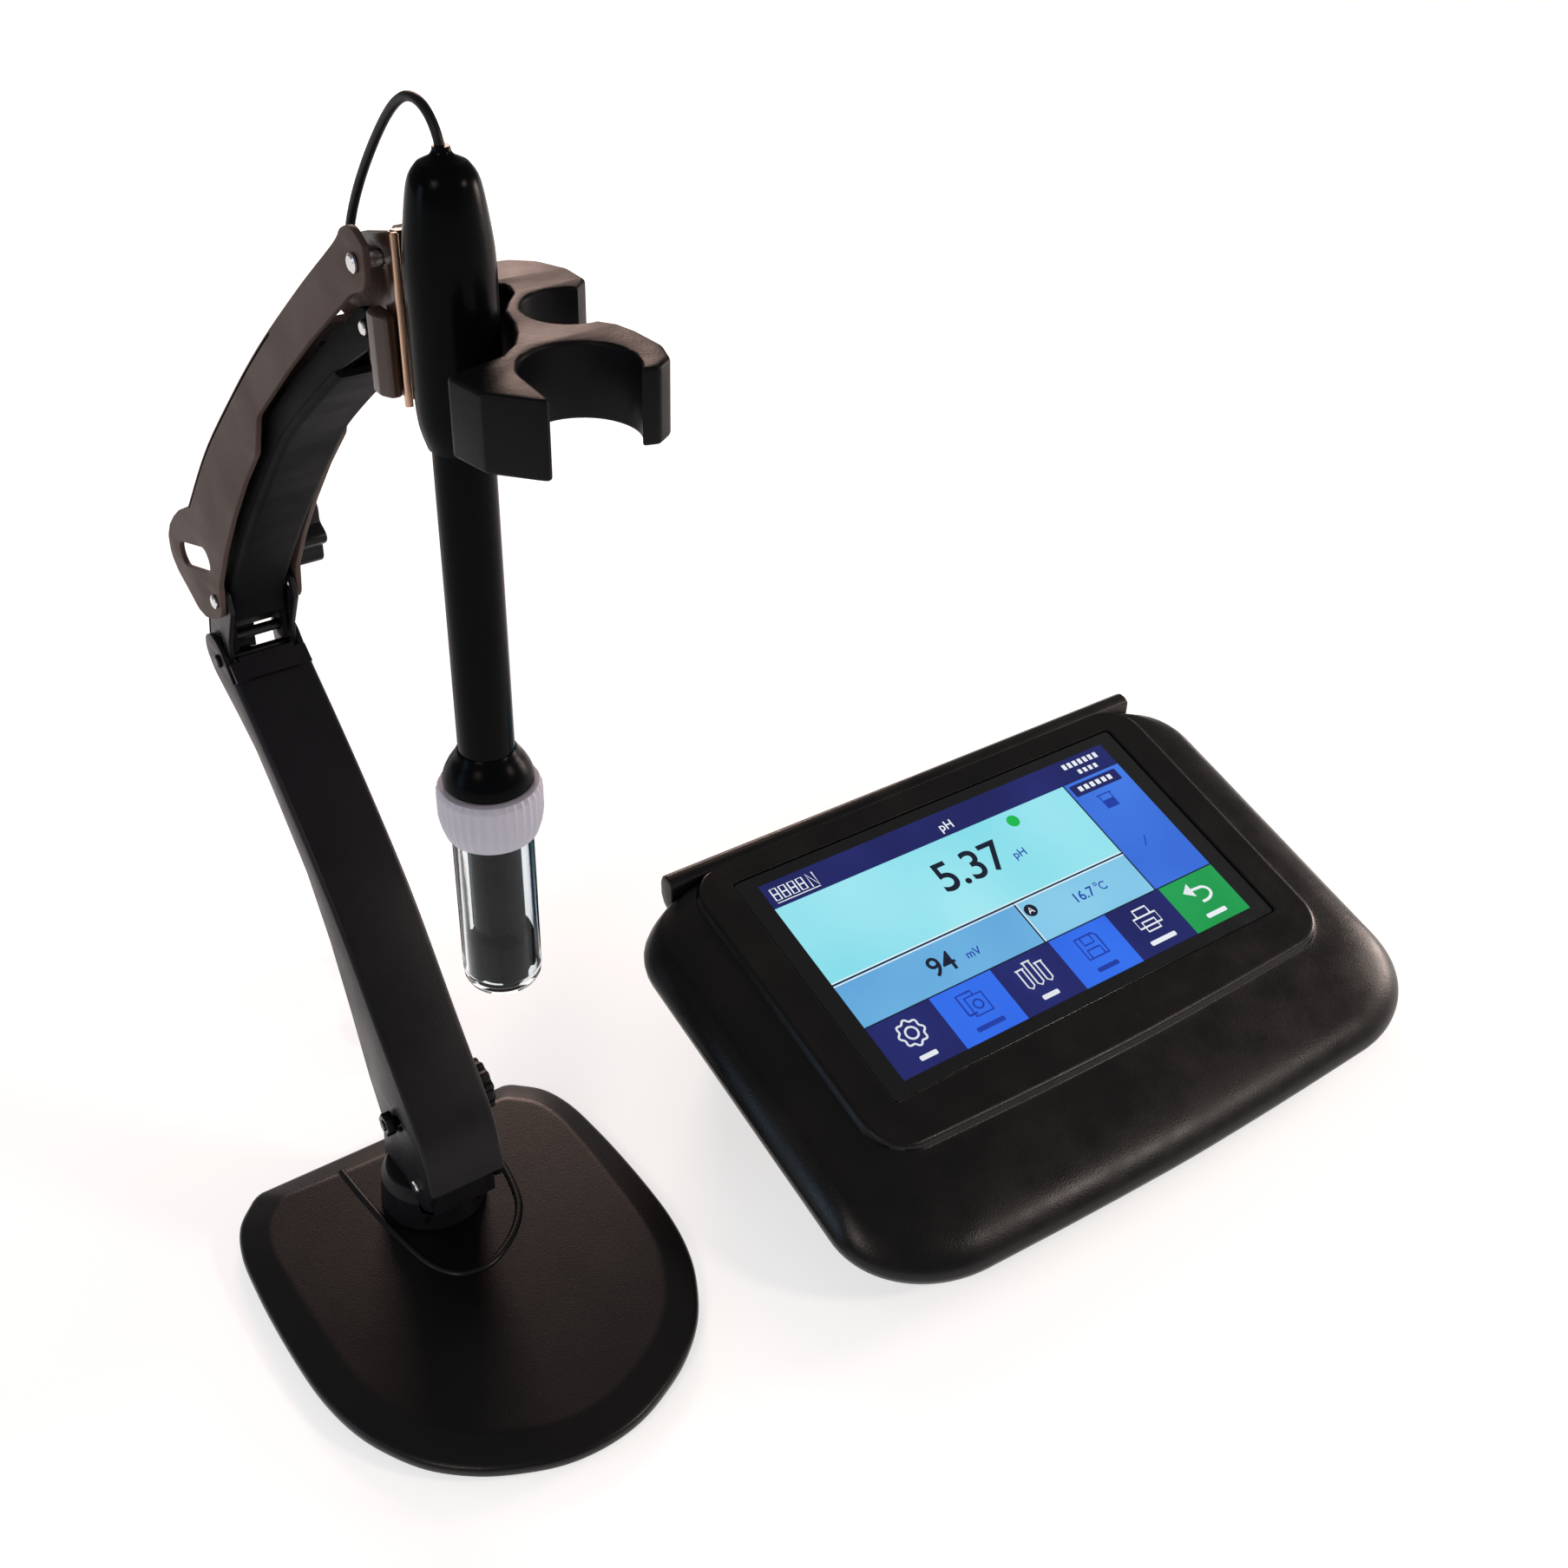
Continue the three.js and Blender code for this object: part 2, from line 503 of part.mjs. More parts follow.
function elbow() {
  const cheek = [[148.6, 156.4], [151, 152.4], [156, 151.4], [162, 153], [163.4, 160], [160, 172],
    [153, 185.4], [147, 187.2], [142, 185], [140.6, 179.4], [146.4, 168]];
  const right = [...cheek.slice(0, 6), [159.6, 186], [159, 195], [155, 197.6], [150.5, 194.6],
    [147, 187.2], ...cheek.slice(8)];
  const web = side([[161.8, 154], [163.1, 158], [163.4, 160], [160, 172], [158.4, 171.4], [161.8, 159.6]],
    -PLATE_HALF, PLATE_HALF);
  const holes = [B1, B2, Q_INNER, Q_OUTER].map((at) => rod(HOLE, -14, 14, at, 12));
  const bolt = rod(BOLT + GAP, 0, 14, ELBOW_BOLT, 12);
  const cheeks = [side(cheek, -PLATE_HALF, -8.7), side(right, 8.7, PLATE_HALF)];
  addNode('elbow_bracket', cut(joined(web, ...cheeks), ...holes, bolt), BLACK);
}

function headBracket() {
  const cheek = [[16.2, 289], [16.2, 323.5], [30, 319.6], [42, 315.2], [48, 309.4], [53, 304.8],
    [53, 299.4], [42, 297], [34.5, 293.5], [33, 289]];
  const web = side([[16.2, 289], [17.7, 289], [17.7, 323], [16.2, 323.5]], -6.4, 6.4);
  const shelf = side([[45, 299.9], [53, 301.6], [53, 303.2], [45, 301.5]], -6.4, 6.4);
  const holes = [P_OUTER, P_INNER].map((at) => rod(HOLE, -14, 14, at, 12));
  const eye = upright([[0, 290], [1.9, 290], [1.9, 312], [0, 312]], 12, STAND_X - 2.4, 49.4);
  const cheeks = [side(cheek, -6.4, -5), side(cheek, 5, 6.4)];
  addNode('head_bracket', cut(joined(web, shelf, ...cheeks), ...holes, eye), BLACK);
}

// ---- fasteners -------------------------------------------------------------
function fasteners() {
  const pin = (half) => [[0, -half - 1.1], [2.2, -half - 1.1], [2.2, -half - GAP], [PIN, -half - GAP],
    [PIN, half + 0.6], [0, half + 0.6]];
  addNode('base_pin', across(pin(ARM_HALF), 12, A1), STEEL);
  addNode('lower_link_base_pin', rod(PIN, -10.1, 10.1, A2), STEEL);
  addNode('lower_arm_top_pin', across(pin(ARM_HALF), 12, B1), STEEL);
  addNode('lower_link_top_pin', rod(PIN, -PLATE_HALF, PLATE_HALF, B2), STEEL);
  const stub = [[0, -ARM_HALF - 1.1], [2.2, -ARM_HALF - 1.1], [2.2, -ARM_HALF - GAP],
    [PIN, -ARM_HALF - GAP], [PIN, -8.7], [0, -8.7]];
  addNode('elbow_outer_pin_left', across(stub, 12, Q_OUTER), STEEL);
  addNode('elbow_outer_pin_right', rod(PIN, 8.7, ARM_HALF + 0.6, Q_OUTER, 12), STEEL);
  addNode('elbow_inner_pin', rod(PIN, -PLATE_HALF, PLATE_HALF, Q_INNER), STEEL);
  addNode('head_upper_pin', across(pin(ARM_HALF), 12, P_OUTER), STEEL);
  addNode('head_lower_pin', rod(PIN, -9.4, 9.4, P_INNER), STEEL);

  addNode('base_bolt', rod(BOLT, -15.6, 15.8, BASE_BOLT), STEEL);
  addNode('elbow_bolt', rod(BOLT, 8.8, 19.8, ELBOW_BOLT), STEEL);
  const hex = (at, from, to) => {
    const shape = side(circle(3.6, 6, at), from, to);
    return cut(shape, rod(BOLT + GAP, from - 1, to + 1, at));
  };
  addNode('base_bolt_nut', hex(BASE_BOLT, -ARM_HALF - 3.2, -ARM_HALF - GAP), STEEL);
}

function lobed(count, radius, depth, at) {
  const points = [];
  const steps = count * 6;
  for (let i = 0; i < steps; i += 1) {
    const angle = (2 * Math.PI * i) / steps;
    const reach = radius - (depth / 2) * (1 - Math.cos(count * angle));
    points.push([at[0] + reach * Math.cos(angle), at[1] + reach * Math.sin(angle)]);
  }
  return points;
}

function knobs() {
  const baseBody = joined(side(lobed(12, 8, 0.8, BASE_BOLT), 13.2, 17.8), rod(4.6, 12.4, 13.6, BASE_BOLT, 20));
  addNode('base_knob', cut(baseBody, rod(BOLT + GAP, 11, 16.2, BASE_BOLT)), BLACK);
  const lobes = side(lobed(6, 10.6, 3, ELBOW_BOLT), 13.4, 22.4);
  const elbowBody = joined(lobes, rod(5.4, 12.4, 14, ELBOW_BOLT, 20));
  addNode('elbow_knob', cut(elbowBody, rod(BOLT + GAP, 11, 20.2, ELBOW_BOLT)), BLACK);
}

// ---- electrode and holder --------------------------------------------------
function holder() {
  const arc = (radius, count, centre, from, sweep) =>
    circle(radius, count, centre, THREE.MathUtils.degToRad(from), THREE.MathUtils.degToRad(sweep));
  const bigSlot = arc(11.5, 12, [9.5, -25.5], -38, 218);
  const sideSlot = arc(9.6, 10, [23, 1.6], 50, 224);
  const block = [[6.8, 18.8], [7.4, 20.4], [12.6, 21.4], [13.4, 29], [18, 31.6], [25, 31], [30, 27],
    [33.2, 20], [33.2, 12.6], ...sideSlot, [26.2, -11.4], [27.4, -16.4], [28, -25], [26, -31], [22, -33.6],
    ...bigSlot, [-2.7, -38], [-12.1, -27.4], [-13.9, -17.2], [-6.4, -15.2], [-0.6, -13.8],
    [3.8, -10.4], [6.8, -6], [9.2, -0.6], [10.6, 5.6], [13.4, 9.6], [17, 13.6], [17.6, 18],
    [14.4, 20.4], [10, 19.4]];
  const placed = block.map(([x, y]) => [STAND_X + x, y]).reverse();
  addNode('electrode_holder', plan(placed, 292, 308), BLACK);
  const wing = [[-6.8, 17.2], [-6.8, 24.4], [-9, 24.6], [-10.8, 23.2], [-10.8, 20], [-9.4, 17.4]];
  addNode('holder_wing', plan(wing.map(([x, y]) => [STAND_X + x, y]).reverse(), 289.4, 306.6), BLACK);
}

function electrode() {
  const at = [STAND_X, PROBE_Y];
  const cap = [[0, 282], [7.4, 282], [8.6, 287], [8.9, 294], [8.9, 320], [8, 328], [6.9, 335],
    [5.4, 338], [2.6, 339.6], [1.6, 341.4], [0, 341.4]];
  addNode('electrode_cap', upright(cap, 24, ...at), BLACK);
  const shaft = [[4.6, 158], [6.1, 158], [6.1, 281.7], [0, 281.7], [0, 164], [4.6, 164], [4.6, 158]];
  addNode('electrode_shaft', upright(shaft, 20, ...at), BLACK);
  const bulb = [[0, 156.4], [2.2, 157], [3.7, 159], [4.2, 161.4], [3.4, 163.6], [0, 163.6]];
  addNode('glass_bulb', upright(bulb, 20, ...at), CLEAR);
  const seal = [[6.4, 199.4], [10.3, 199.4], [10.4, 200.8], [9.9, 202.6], [8.8, 204.8], [7.2, 207],
    [6.4, 208.4], [6.4, 199.4]];
  addNode('bottle_seal', upright(seal, 20, ...at), BLACK);
  const ring = [[9.9, 185.6], [10.6, 185.6], [11.8, 189], [12.15, 191.4], [12.15, 197.2], [11.6, 199],
    [6.5, 199], [6.5, 196.6], [9.9, 196.6], [9.9, 185.6]];
  addNode('bottle_ring', upright(ring, 24, ...at), CLEAR);
  const bottle = [[0, 141.4], [8.2, 141.4], [9.2, 143], [9.5, 145.4], [9.5, 196.2], [8.3, 196.2],
    [8.3, 145.4], [7.4, 143.2], [0, 143.2]];
  addNode('storage_bottle', upright(bottle, 24, ...at), CLEAR);
}

// ---- electrode lead --------------------------------------------------------
const offsetStand = ([x, y, z]) => [STAND_X + x, y, z];

function lead() {
  const loop = [[0, 6.3, 341.8], [-0.2, 8, 346], [-0.6, 12, 349.2], [-1, 17.6, 349.2], [-1.5, 25, 343.4],
    [-2, 34, 332.4], [-2.3, 42, 320.6], [-2.4, 47.6, 311.6], [-2.4, 49.4, 305.4]];
  addNode('lead_loop', swept(loop.map(offsetStand), CABLE, 8, 18), BLACK);
  const upper = [[-2.4, 68, 282], [0, 81.4, 271.6], [2, 107.4, 248.6], [3, 130.4, 226.6], [3, 146, 209],
    [3, 150, 203]];
  addNode('lead_upper_run', swept(upper.map(offsetStand), CABLE, 8, 14), BLACK);
  const lower = [[3, 150, 150.5], [3, 142.5, 149.4], [3, 128.6, 141], [3, 114.8, 129.8], [3, 97.9, 114],
    [3, 85, 100.6], [3, 75.5, 86.5], [3, 71, 74]];
  addNode('lead_lower_run', swept(lower.map(offsetStand), CABLE, 8, 16), BLACK);
  const drop = [[0, 6.4], [CABLE, 6.4], [CABLE, 60], [0, 60]];
  addNode('lead_turret_run', upright(drop, 8, STAND_X, SWIVEL_Y), BLACK);
  const baseRun = [[0.2, 66.4, 3.4], [6.7, 80, 3.4], [12.5, 92, 3.2], [17.8, 103, 3]];
  addNode('lead_base_run', swept(baseRun.map(offsetStand), CABLE, 8, 8), BLACK);
  const tail = [[18.1, 103.6, 2.8], [20.6, 109, 1.6], [23, 115.5, 1.1], [25, 122.5, 1.1],
    [26.2, 130.4, 1.1]];
  addNode('lead_tail', swept(tail.map(offsetStand), CABLE, 8, 10), BLACK);
  const coil = [[8, 0], [13.7, 0], [14.3, 2], [14.3, 5], [13.7, 7], [8, 7], [7.6, 3.5], [8, 0]];
  addNode('lead_coil', upright(coil, 24, STAND_X + 29.5, 146), BLACK);
  const plug = [[0, -15], [4.6, -15], [5.2, -2], [7.2, 0], [7.2, 12], [4.9, 12], [4.9, 15], [0, 15]];
  const connector = lathe(plug, 20).rotateX(-Math.PI / 2).rotateZ(THREE.MathUtils.degToRad(-14));
  addNode('lead_bnc_plug', connector.translate(STAND_X + 37.5, 178.5, 7.2), STEEL);
}

meter();
standBase();
turret();
lowerArm();
upperArm();
elbow();
headBracket();
fasteners();
knobs();
holder();
electrode();
lead();

group.children.forEach((mesh) => mesh.geometry.translate(ORIGIN.x, ORIGIN.y, ORIGIN.z));

export default group;
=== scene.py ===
from math import atan2, cos, degrees, hypot, pi, radians, sin, tan

import bmesh
import bpy
from mathutils import Matrix, Vector


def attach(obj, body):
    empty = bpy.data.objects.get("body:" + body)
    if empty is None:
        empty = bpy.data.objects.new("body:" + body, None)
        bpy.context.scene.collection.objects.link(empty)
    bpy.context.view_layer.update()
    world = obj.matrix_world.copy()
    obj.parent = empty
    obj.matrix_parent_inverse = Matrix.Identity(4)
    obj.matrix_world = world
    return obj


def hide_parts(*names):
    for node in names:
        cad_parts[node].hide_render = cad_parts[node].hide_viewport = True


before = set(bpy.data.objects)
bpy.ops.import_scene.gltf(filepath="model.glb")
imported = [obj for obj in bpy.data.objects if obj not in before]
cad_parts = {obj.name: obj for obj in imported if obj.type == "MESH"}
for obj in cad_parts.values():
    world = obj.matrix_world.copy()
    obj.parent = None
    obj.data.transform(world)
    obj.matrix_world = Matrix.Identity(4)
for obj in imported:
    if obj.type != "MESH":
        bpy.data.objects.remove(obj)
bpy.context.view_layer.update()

MM = 0.001
ORIGIN = (71.95, -62.85)
STAND_X = -206
TILT = radians(16.1)
DISPLAY_Z = 40
REAR_Y = 92
ARM_HALF = 11.9
PLATE_HALF = 10.1
SHEET = 1.5
PIN = 1.5
AXIS = 0.01


# ---- frames: millimetres about the display's front edge to metres in the part's frame ----
def at(x, y, z):
    return Vector((x + ORIGIN[0], y + ORIGIN[1], z)) * MM


def on_stand(x, y, z):
    return at(STAND_X + x, y, z)


def on_slope(x, s, h):
    y = s * cos(TILT) - h * sin(TILT)
    return at(x, y, DISPLAY_Z + s * sin(TILT) + h * cos(TILT))


def sideways(u, v, w):
    return on_stand(w, u, v)


def link(name, data):
    item = bpy.data.objects.new(name, data)
    bpy.context.scene.collection.objects.link(item)
    return item


# ---- camera ----
CAMERA_AT = (-358.4, -311.3, 445.4)
CAMERA_YAW, CAMERA_PITCH, CAMERA_ROLL = radians(-36.61), radians(35.27), radians(2.04)
SENSOR = 36
LENS = 42.913116


def set_camera():
    data = bpy.data.cameras.new("camera")
    camera = link("camera", data)
    flat = cos(CAMERA_PITCH)
    ahead = Vector((-sin(CAMERA_YAW) * flat, cos(CAMERA_YAW) * flat, -sin(CAMERA_PITCH)))
    level = Vector((cos(CAMERA_YAW), sin(CAMERA_YAW), 0))
    above = level.cross(ahead)
    right = cos(CAMERA_ROLL) * level + sin(CAMERA_ROLL) * above
    up = -sin(CAMERA_ROLL) * level + cos(CAMERA_ROLL) * above
    turn = Matrix((right, up, -ahead)).transposed().to_4x4()
    camera.matrix_world = Matrix.Translation(at(*CAMERA_AT)) @ turn
    data.sensor_width = SENSOR
    data.lens = LENS
    data.clip_start = 0.01
    data.clip_end = 30
    bpy.context.scene.camera = camera


set_camera()


# ---- materials ----
class Nodes:
    def __init__(self, name):
        self.material = bpy.data.materials.new(name)
        self.material.use_nodes = True
        self.tree = self.material.node_tree
        self.bsdf = self.tree.nodes["Principled BSDF"]
        self.coords = self.tree.nodes.new("ShaderNodeTexCoord").outputs["Object"]

    def add(self, kind, **inputs):
        node = self.tree.nodes.new(kind)
        for key, value in inputs.items():
            self.put(node.inputs[key.replace("_", " ")], value)
        return node

    def put(self, socket, value):
        if isinstance(value, bpy.types.NodeSocket):
            self.tree.links.new(value, socket)
        else:
            socket.default_value = (*value, 1) if socket.type == "RGBA" else value

    def set(self, key, value):
        self.put(self.bsdf.inputs[key], value)

    def noise(self, scale, detail=3, rough=0.55):
        return self.add("ShaderNodeTexNoise", Vector=self.coords, Scale=scale, Detail=detail,
            Roughness=rough).outputs["Fac"]

    def remap(self, value, low, high, out_low, out_high):
        return self.add("ShaderNodeMapRange", Value=value, From_Min=low, From_Max=high, To_Min=out_low,
            To_Max=out_high).outputs["Result"]

    def mix(self, factor, first, second):
        node = self.tree.nodes.new("ShaderNodeMix")
        node.data_type = "RGBA"
        sockets = {s.identifier: s for s in node.inputs}
        for key, value in (("Factor_Float", factor), ("A_Color", first), ("B_Color", second)):
            self.put(sockets[key], value)
        return {s.identifier: s for s in node.outputs}["Result_Color"]

    def bump(self, height, strength, distance):
        node = self.add("ShaderNodeBump", Height=height, Strength=strength, Distance=distance)
        self.set("Normal", node.outputs["Normal"])


def moulded(name, base, rough, grain, depth, tint=None, spread=0.08, shine=0.25):
    """Painted or moulded plastic: patchy colour, worn roughness and a fine grain."""
    n = Nodes(name)
    n.set("Specular IOR Level", shine)
    patch = n.noise(14, 2)
    second = tint or tuple(c * 1.5 for c in base)
    n.set("Base Color", n.mix(n.remap(patch, 0.35, 0.7, 0, 1), base, second))
    fine = n.noise(grain, 2, 0.6)
    wear = n.noise(60, 4)
    n.set("Roughness", n.remap(wear, 0.3, 0.75, rough - spread, rough + spread))
    n.bump(fine, depth, 0.00012)
    return n.material


def metal(name, base, rough, scratch=900):
    """Brushed along the object's first axis."""
    n = Nodes(name)
    n.set("Metallic", 1)
    n.set("Base Color", n.mix(n.noise(120), base, tuple(c * 0.8 for c in base)))
    stretch = n.add("ShaderNodeMapping", Vector=n.coords)
    stretch.inputs["Scale"].default_value = (1, 0.08, 0.08)
    lines = n.add("ShaderNodeTexNoise", Vector=stretch.outputs["Vector"], Scale=scratch, Detail=2)
    n.set("Roughness", n.remap(lines.outputs["Fac"], 0.3, 0.7, rough * 0.7, rough * 1.3))
    n.bump(lines.outputs["Fac"], 0.15, 0.00005)
    return n.material


def clear(name, tint, rough, ior):
    n = Nodes(name)
    n.set("Base Color", tint)
    n.set("Transmission Weight", 1)
    n.set("IOR", ior)
    n.set("Roughness", n.remap(n.noise(90), 0.3, 0.7, rough, rough + 0.05))
    n.bump(n.noise(240, 2), 0.08, 0.0001)
    return n.material


def lit(name, colour, other=None, scale=30):
    """A glowing patch of the display."""
    n = Nodes(name)
    n.set("Base Color", (0.004, 0.004, 0.005))
    second = other or tuple(c * 0.86 for c in colour)
    n.set("Emission Color", n.mix(n.remap(n.noise(scale, 1), 0.35, 0.65, 0, 1), colour, second))
    n.set("Emission Strength", 1)
    n.set("Roughness", n.remap(n.noise(200), 0.3, 0.7, 0.1, 0.16))
    n.set("Specular IOR Level", 0.25)
    return n.material


CASE = moulded("case_plastic", (0.0032, 0.003, 0.0032), 0.34, 1500, 0.5, (0.0052, 0.0042, 0.004), shine=0.3)
CASE_LOW = moulded("case_plastic_lower", (0.003, 0.003, 0.0033), 0.42, 1500, 0.4)
PAINT = moulded("stand_paint", (0.0085, 0.0082, 0.0102), 0.36, 1900, 0.3, (0.012, 0.011, 0.0135), shine=0.16)
BASE_PAINT = moulded("base_paint", (0.0036, 0.0032, 0.0034), 0.33, 1900, 0.35, (0.005, 0.0041, 0.0041), 0.02,
    0.3)
HOLDER = moulded("holder_plastic", (0.0036, 0.0036, 0.0046), 0.45, 1300, 0.4, (0.006, 0.0054, 0.0064),
    shine=0.09)
KNOB = moulded("knob_plastic", (0.0035, 0.0035, 0.004), 0.4, 1300, 0.4, shine=0.2)
PROBE = moulded("probe_plastic", (0.0014, 0.0017, 0.0021), 0.24, 1100, 0.15, shine=0.04)
RUBBER = moulded("black_rubber", (0.0035, 0.0035, 0.0035), 0.6, 900, 0.5, shine=0.15)
JACKET = moulded("lead_jacket", (0.0035, 0.0035, 0.004), 0.46, 1500, 0.3, shine=0.2)
STEEL = metal("pin_steel", (0.72, 0.71, 0.7), 0.25)
BLACKENED = metal("blackened_steel", (0.035, 0.035, 0.038), 0.34)
# copper-coloured metal used as a painted highlight: the warm gleam along the head bracket's bend
EDGE_HIGHLIGHT_METAL = metal("painted_edge_highlight", (0.62, 0.4, 0.28), 0.34)
NICKEL = metal("connector_nickel", (0.66, 0.64, 0.6), 0.2)
CLEAR = clear("clear_plastic", (0.9, 0.95, 0.97), 0.01, 1.2)
GLASS = clear("bulb_glass", (0.94, 0.98, 0.98), 0.01, 1.5)


# ---- mesh building ----
def arc_fillet(points, radius, count=5, closed=True):
    """Rounds the corners of a polygon; each point may carry its own radius as a third number."""
    out = []
    total = len(points)
    for i, point in enumerate(points):
        if not closed and i in (0, total - 1):
            out.append((point[0], point[1]))
            continue
        here = Vector(point[:2])
        size = point[2] if len(point) > 2 else radius
        before = Vector(points[i - 1][:2]) - here
        after = Vector(points[(i + 1) % total][:2]) - here
        if before.length < 1e-6 or after.length < 1e-6 or size <= 0:
            out.append(tuple(here))
            continue
        half = before.angle(after, 0) / 2
        if half < 0.02 or half > pi / 2 - 0.03:
            out.append(tuple(here))
            continue
        reach = min(size / tan(half), before.length * 0.48, after.length * 0.48)
        start = here + before.normalized() * reach
        end = here + after.normalized() * reach
        for k in range(count + 1):
            t = k / count
            out.append(tuple(start * (1 - t) ** 2 + here * (2 * t * (1 - t)) + end * t ** 2))
    return out


def spline_points(points, count, closed=False):
    """A smooth curve through the points, evenly numbered between them."""
    out = []
    total = len(points)
    spans = total if closed else total - 1
    for i in range(spans):
        quad = [Vector(points[j % total] if closed else points[max(0, min(total - 1, j))]) for j in (i - 1, i,
            i + 1, i + 2)]
        for k in range(count):
            t = k / count
            a, b, c, d = quad
            out.append(tuple(0.5 * (2 * b + (c - a) * t + (2 * a - 5 * b + 4 * c - d) * t * t
                + (3 * b - a - 3 * c + d) * t ** 3)))
    return out if closed else [*out, tuple(Vector(points[-1]))]


def oblong(x0, x1, y0, y1, radius, count):
    return arc_fillet([(x0, y0), (x1, y0), (x1, y1), (x0, y1)], radius, count)


def heading(points, i, closed=False):
    """The direction of a line at its point i."""
    total = len(points)
    after = points[(i + 1) % total] if closed else points[min(i + 1, total - 1)]
    before = points[i - 1] if closed else points[max(i - 1, 0)]
    return (Vector(after) - Vector(before)).normalized()


def angles(count):
    return [2 * pi * i / count for i in range(count)]


def circle(radius, count, centre=(0, 0), start=0, sweep=2 * pi):
    steps = count if sweep > 6.28 else count + 1
    return [(centre[0] + radius * cos(start + sweep * i / count),
        centre[1] + radius * sin(start + sweep * i / count)) for i in range(steps)]


def filled(curve, place):
    """A filled curve's mesh with its points moved by place, as (points, faces)."""
    holder = link("outline", curve)
    bpy.context.view_layer.update()
    mesh = bpy.data.meshes.new_from_object(holder.evaluated_get(bpy.context.evaluated_depsgraph_get()))
    points = [place(*v.co) for v in mesh.vertices]
    faces = [tuple(p.vertices) for p in mesh.polygons]
    bpy.data.objects.remove(holder)
    bpy.data.curves.remove(curve)
    bpy.data.meshes.remove(mesh)
    return points, faces


def prism(outline, low, high, bevel, place, holes=()):
    """An outline with holes, extruded with rounded edges, as (points, faces)."""
    curve = bpy.data.curves.new("outline", "CURVE")
    curve.dimensions = "2D"
    curve.fill_mode = "BOTH"
    curve.extrude = (high - low) / 2 - bevel
    curve.bevel_depth = bevel
    curve.bevel_resolution = 2
    curve.offset = -bevel
    for loop in (outline, *holes):
        spline = curve.splines.new("POLY")
        spline.points.add(len(loop) - 1)
        for point, (u, v) in zip(spline.points, loop):
            point.co = (u, v, 0, 1)
        spline.use_cyclic_u = True
    middle = (high + low) / 2
    return filled(curve, lambda u, v, w: place(u, v, w + middle))


def pin_holes(*centres):
    return [circle(1.85, 24, centre) for centre in centres]


def rings(loops, cap_first=True, cap_last=True):
    """Skins closed loops of equal count."""
    count = len(loops[0])
    points = [p for loop in loops for p in loop]
    faces = []
    for r in range(len(loops) - 1):
        for i in range(count):
            j = (i + 1) % count
            faces.append((r * count + i, r * count + j, (r + 1) * count + j, (r + 1) * count + i))
    if cap_first:
        faces.append(tuple(reversed(range(count))))
    if cap_last:
        faces.append(tuple(range(len(points) - count, len(points))))
    return points, faces


def turned(profile, place, count=64, ripple=None):
    """A lathe of (radius, height) rows; ripple(angle, row) scales a radius."""
    loops = []
    for row, (radius, height) in enumerate(profile):
        loop = []
        for angle in angles(count):
            reach = radius * (ripple(angle, row) if ripple else 1)
            loop.append(place(reach * cos(angle), reach * sin(angle), height))
        loops.append(loop)
    return rings(loops)


def upright(x, y):
    return lambda u, v, w: at(x + u, y + v, w)


def across(y, z):
    return lambda u, v, w: on_stand(w, y + u, z + v)


def bent_strip(line, half, leg, thick, radius, side=1):
    """A sheet-metal strip that follows a (y, z) line, its two edges turned over into legs."""
    def quarter(r, count):
        return [(r * cos(a), r * sin(a)) for a in (pi / 2 * k / count for k in range(count + 1))]

    inner = max(radius - thick, 0.4)
    edge = half - thick
    outer_turn, inner_turn = quarter(radius, 6), quarter(inner, 4)
    section = [(-half, leg), *[(-half + radius - c, radius - s) for c, s in outer_turn],
        *[(half - radius + s, radius - c) for c, s in outer_turn], (half, leg), (edge, leg),
        *[(edge - inner + c, thick + inner - s) for c, s in inner_turn],
        *[(-edge + inner - s, thick + inner - c) for c, s in inner_turn], (-edge, leg)]
    loops = []
    for i, (y, z) in enumerate(line):
        along = heading(line, i)
        normal = Vector((along.y, -along.x)) * side
        loops.append([on_stand(x, y + normal.x * d, z + normal.y * d) for x, d in section])
    return rings(loops)


def piece(name, parts, material, body, *nodes, sharp=32):
    """One object from several (points, faces) parts, riding a body and standing for CAD nodes."""
    mesh = bpy.data.meshes.new(name)
    points, faces = [], []
    for part_points, part_faces in parts:
        start = len(points)
        points += [tuple(p) for p in part_points]
        faces += [tuple(i + start for i in face) for face in part_faces]
    mesh.from_pydata(points, [], faces)
    work = bmesh.new()
    work.from_mesh(mesh)
    bmesh.ops.remove_doubles(work, verts=work.verts, dist=1e-7)
    bmesh.ops.recalc_face_normals(work, faces=work.faces)
    work.to_mesh(mesh)
    work.free()
    mesh.shade_smooth()
    mesh.set_sharp_from_angle(angle=radians(sharp))
    item = link(name, mesh)
    mesh.materials.append(material)
    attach(item, body)
    if nodes:
        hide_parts(*nodes)
    return item


def cad(node, material):
    """A CAD node that is kept, with its own material in place of the record's."""
    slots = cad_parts[node].data.materials
    slots.clear()
    slots.append(material)


# ---- the electrode's lead ----
LEAD_R = 1.0


def cord_curve(name, points, body, radius=LEAD_R):
    data = bpy.data.curves.new(name, "CURVE")
    data.dimensions = "3D"
    data.bevel_depth = radius * MM
    data.bevel_resolution = 5
    data.resolution_u = 6
    data.use_fill_caps = True
    spline = data.splines.new("NURBS")
    spline.points.add(len(points) - 1)
    for target, p in zip(spline.points, points):
        target.co = (*p, 1)
    spline.use_endpoint_u = True
    spline.order_u = 4
    item = link(name, data)
    data.materials.append(JACKET)
    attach(item, body)
    return item


def path_length(points):
    return sum((Vector(b) - Vector(a)).length for a, b in zip(points, points[1:]))


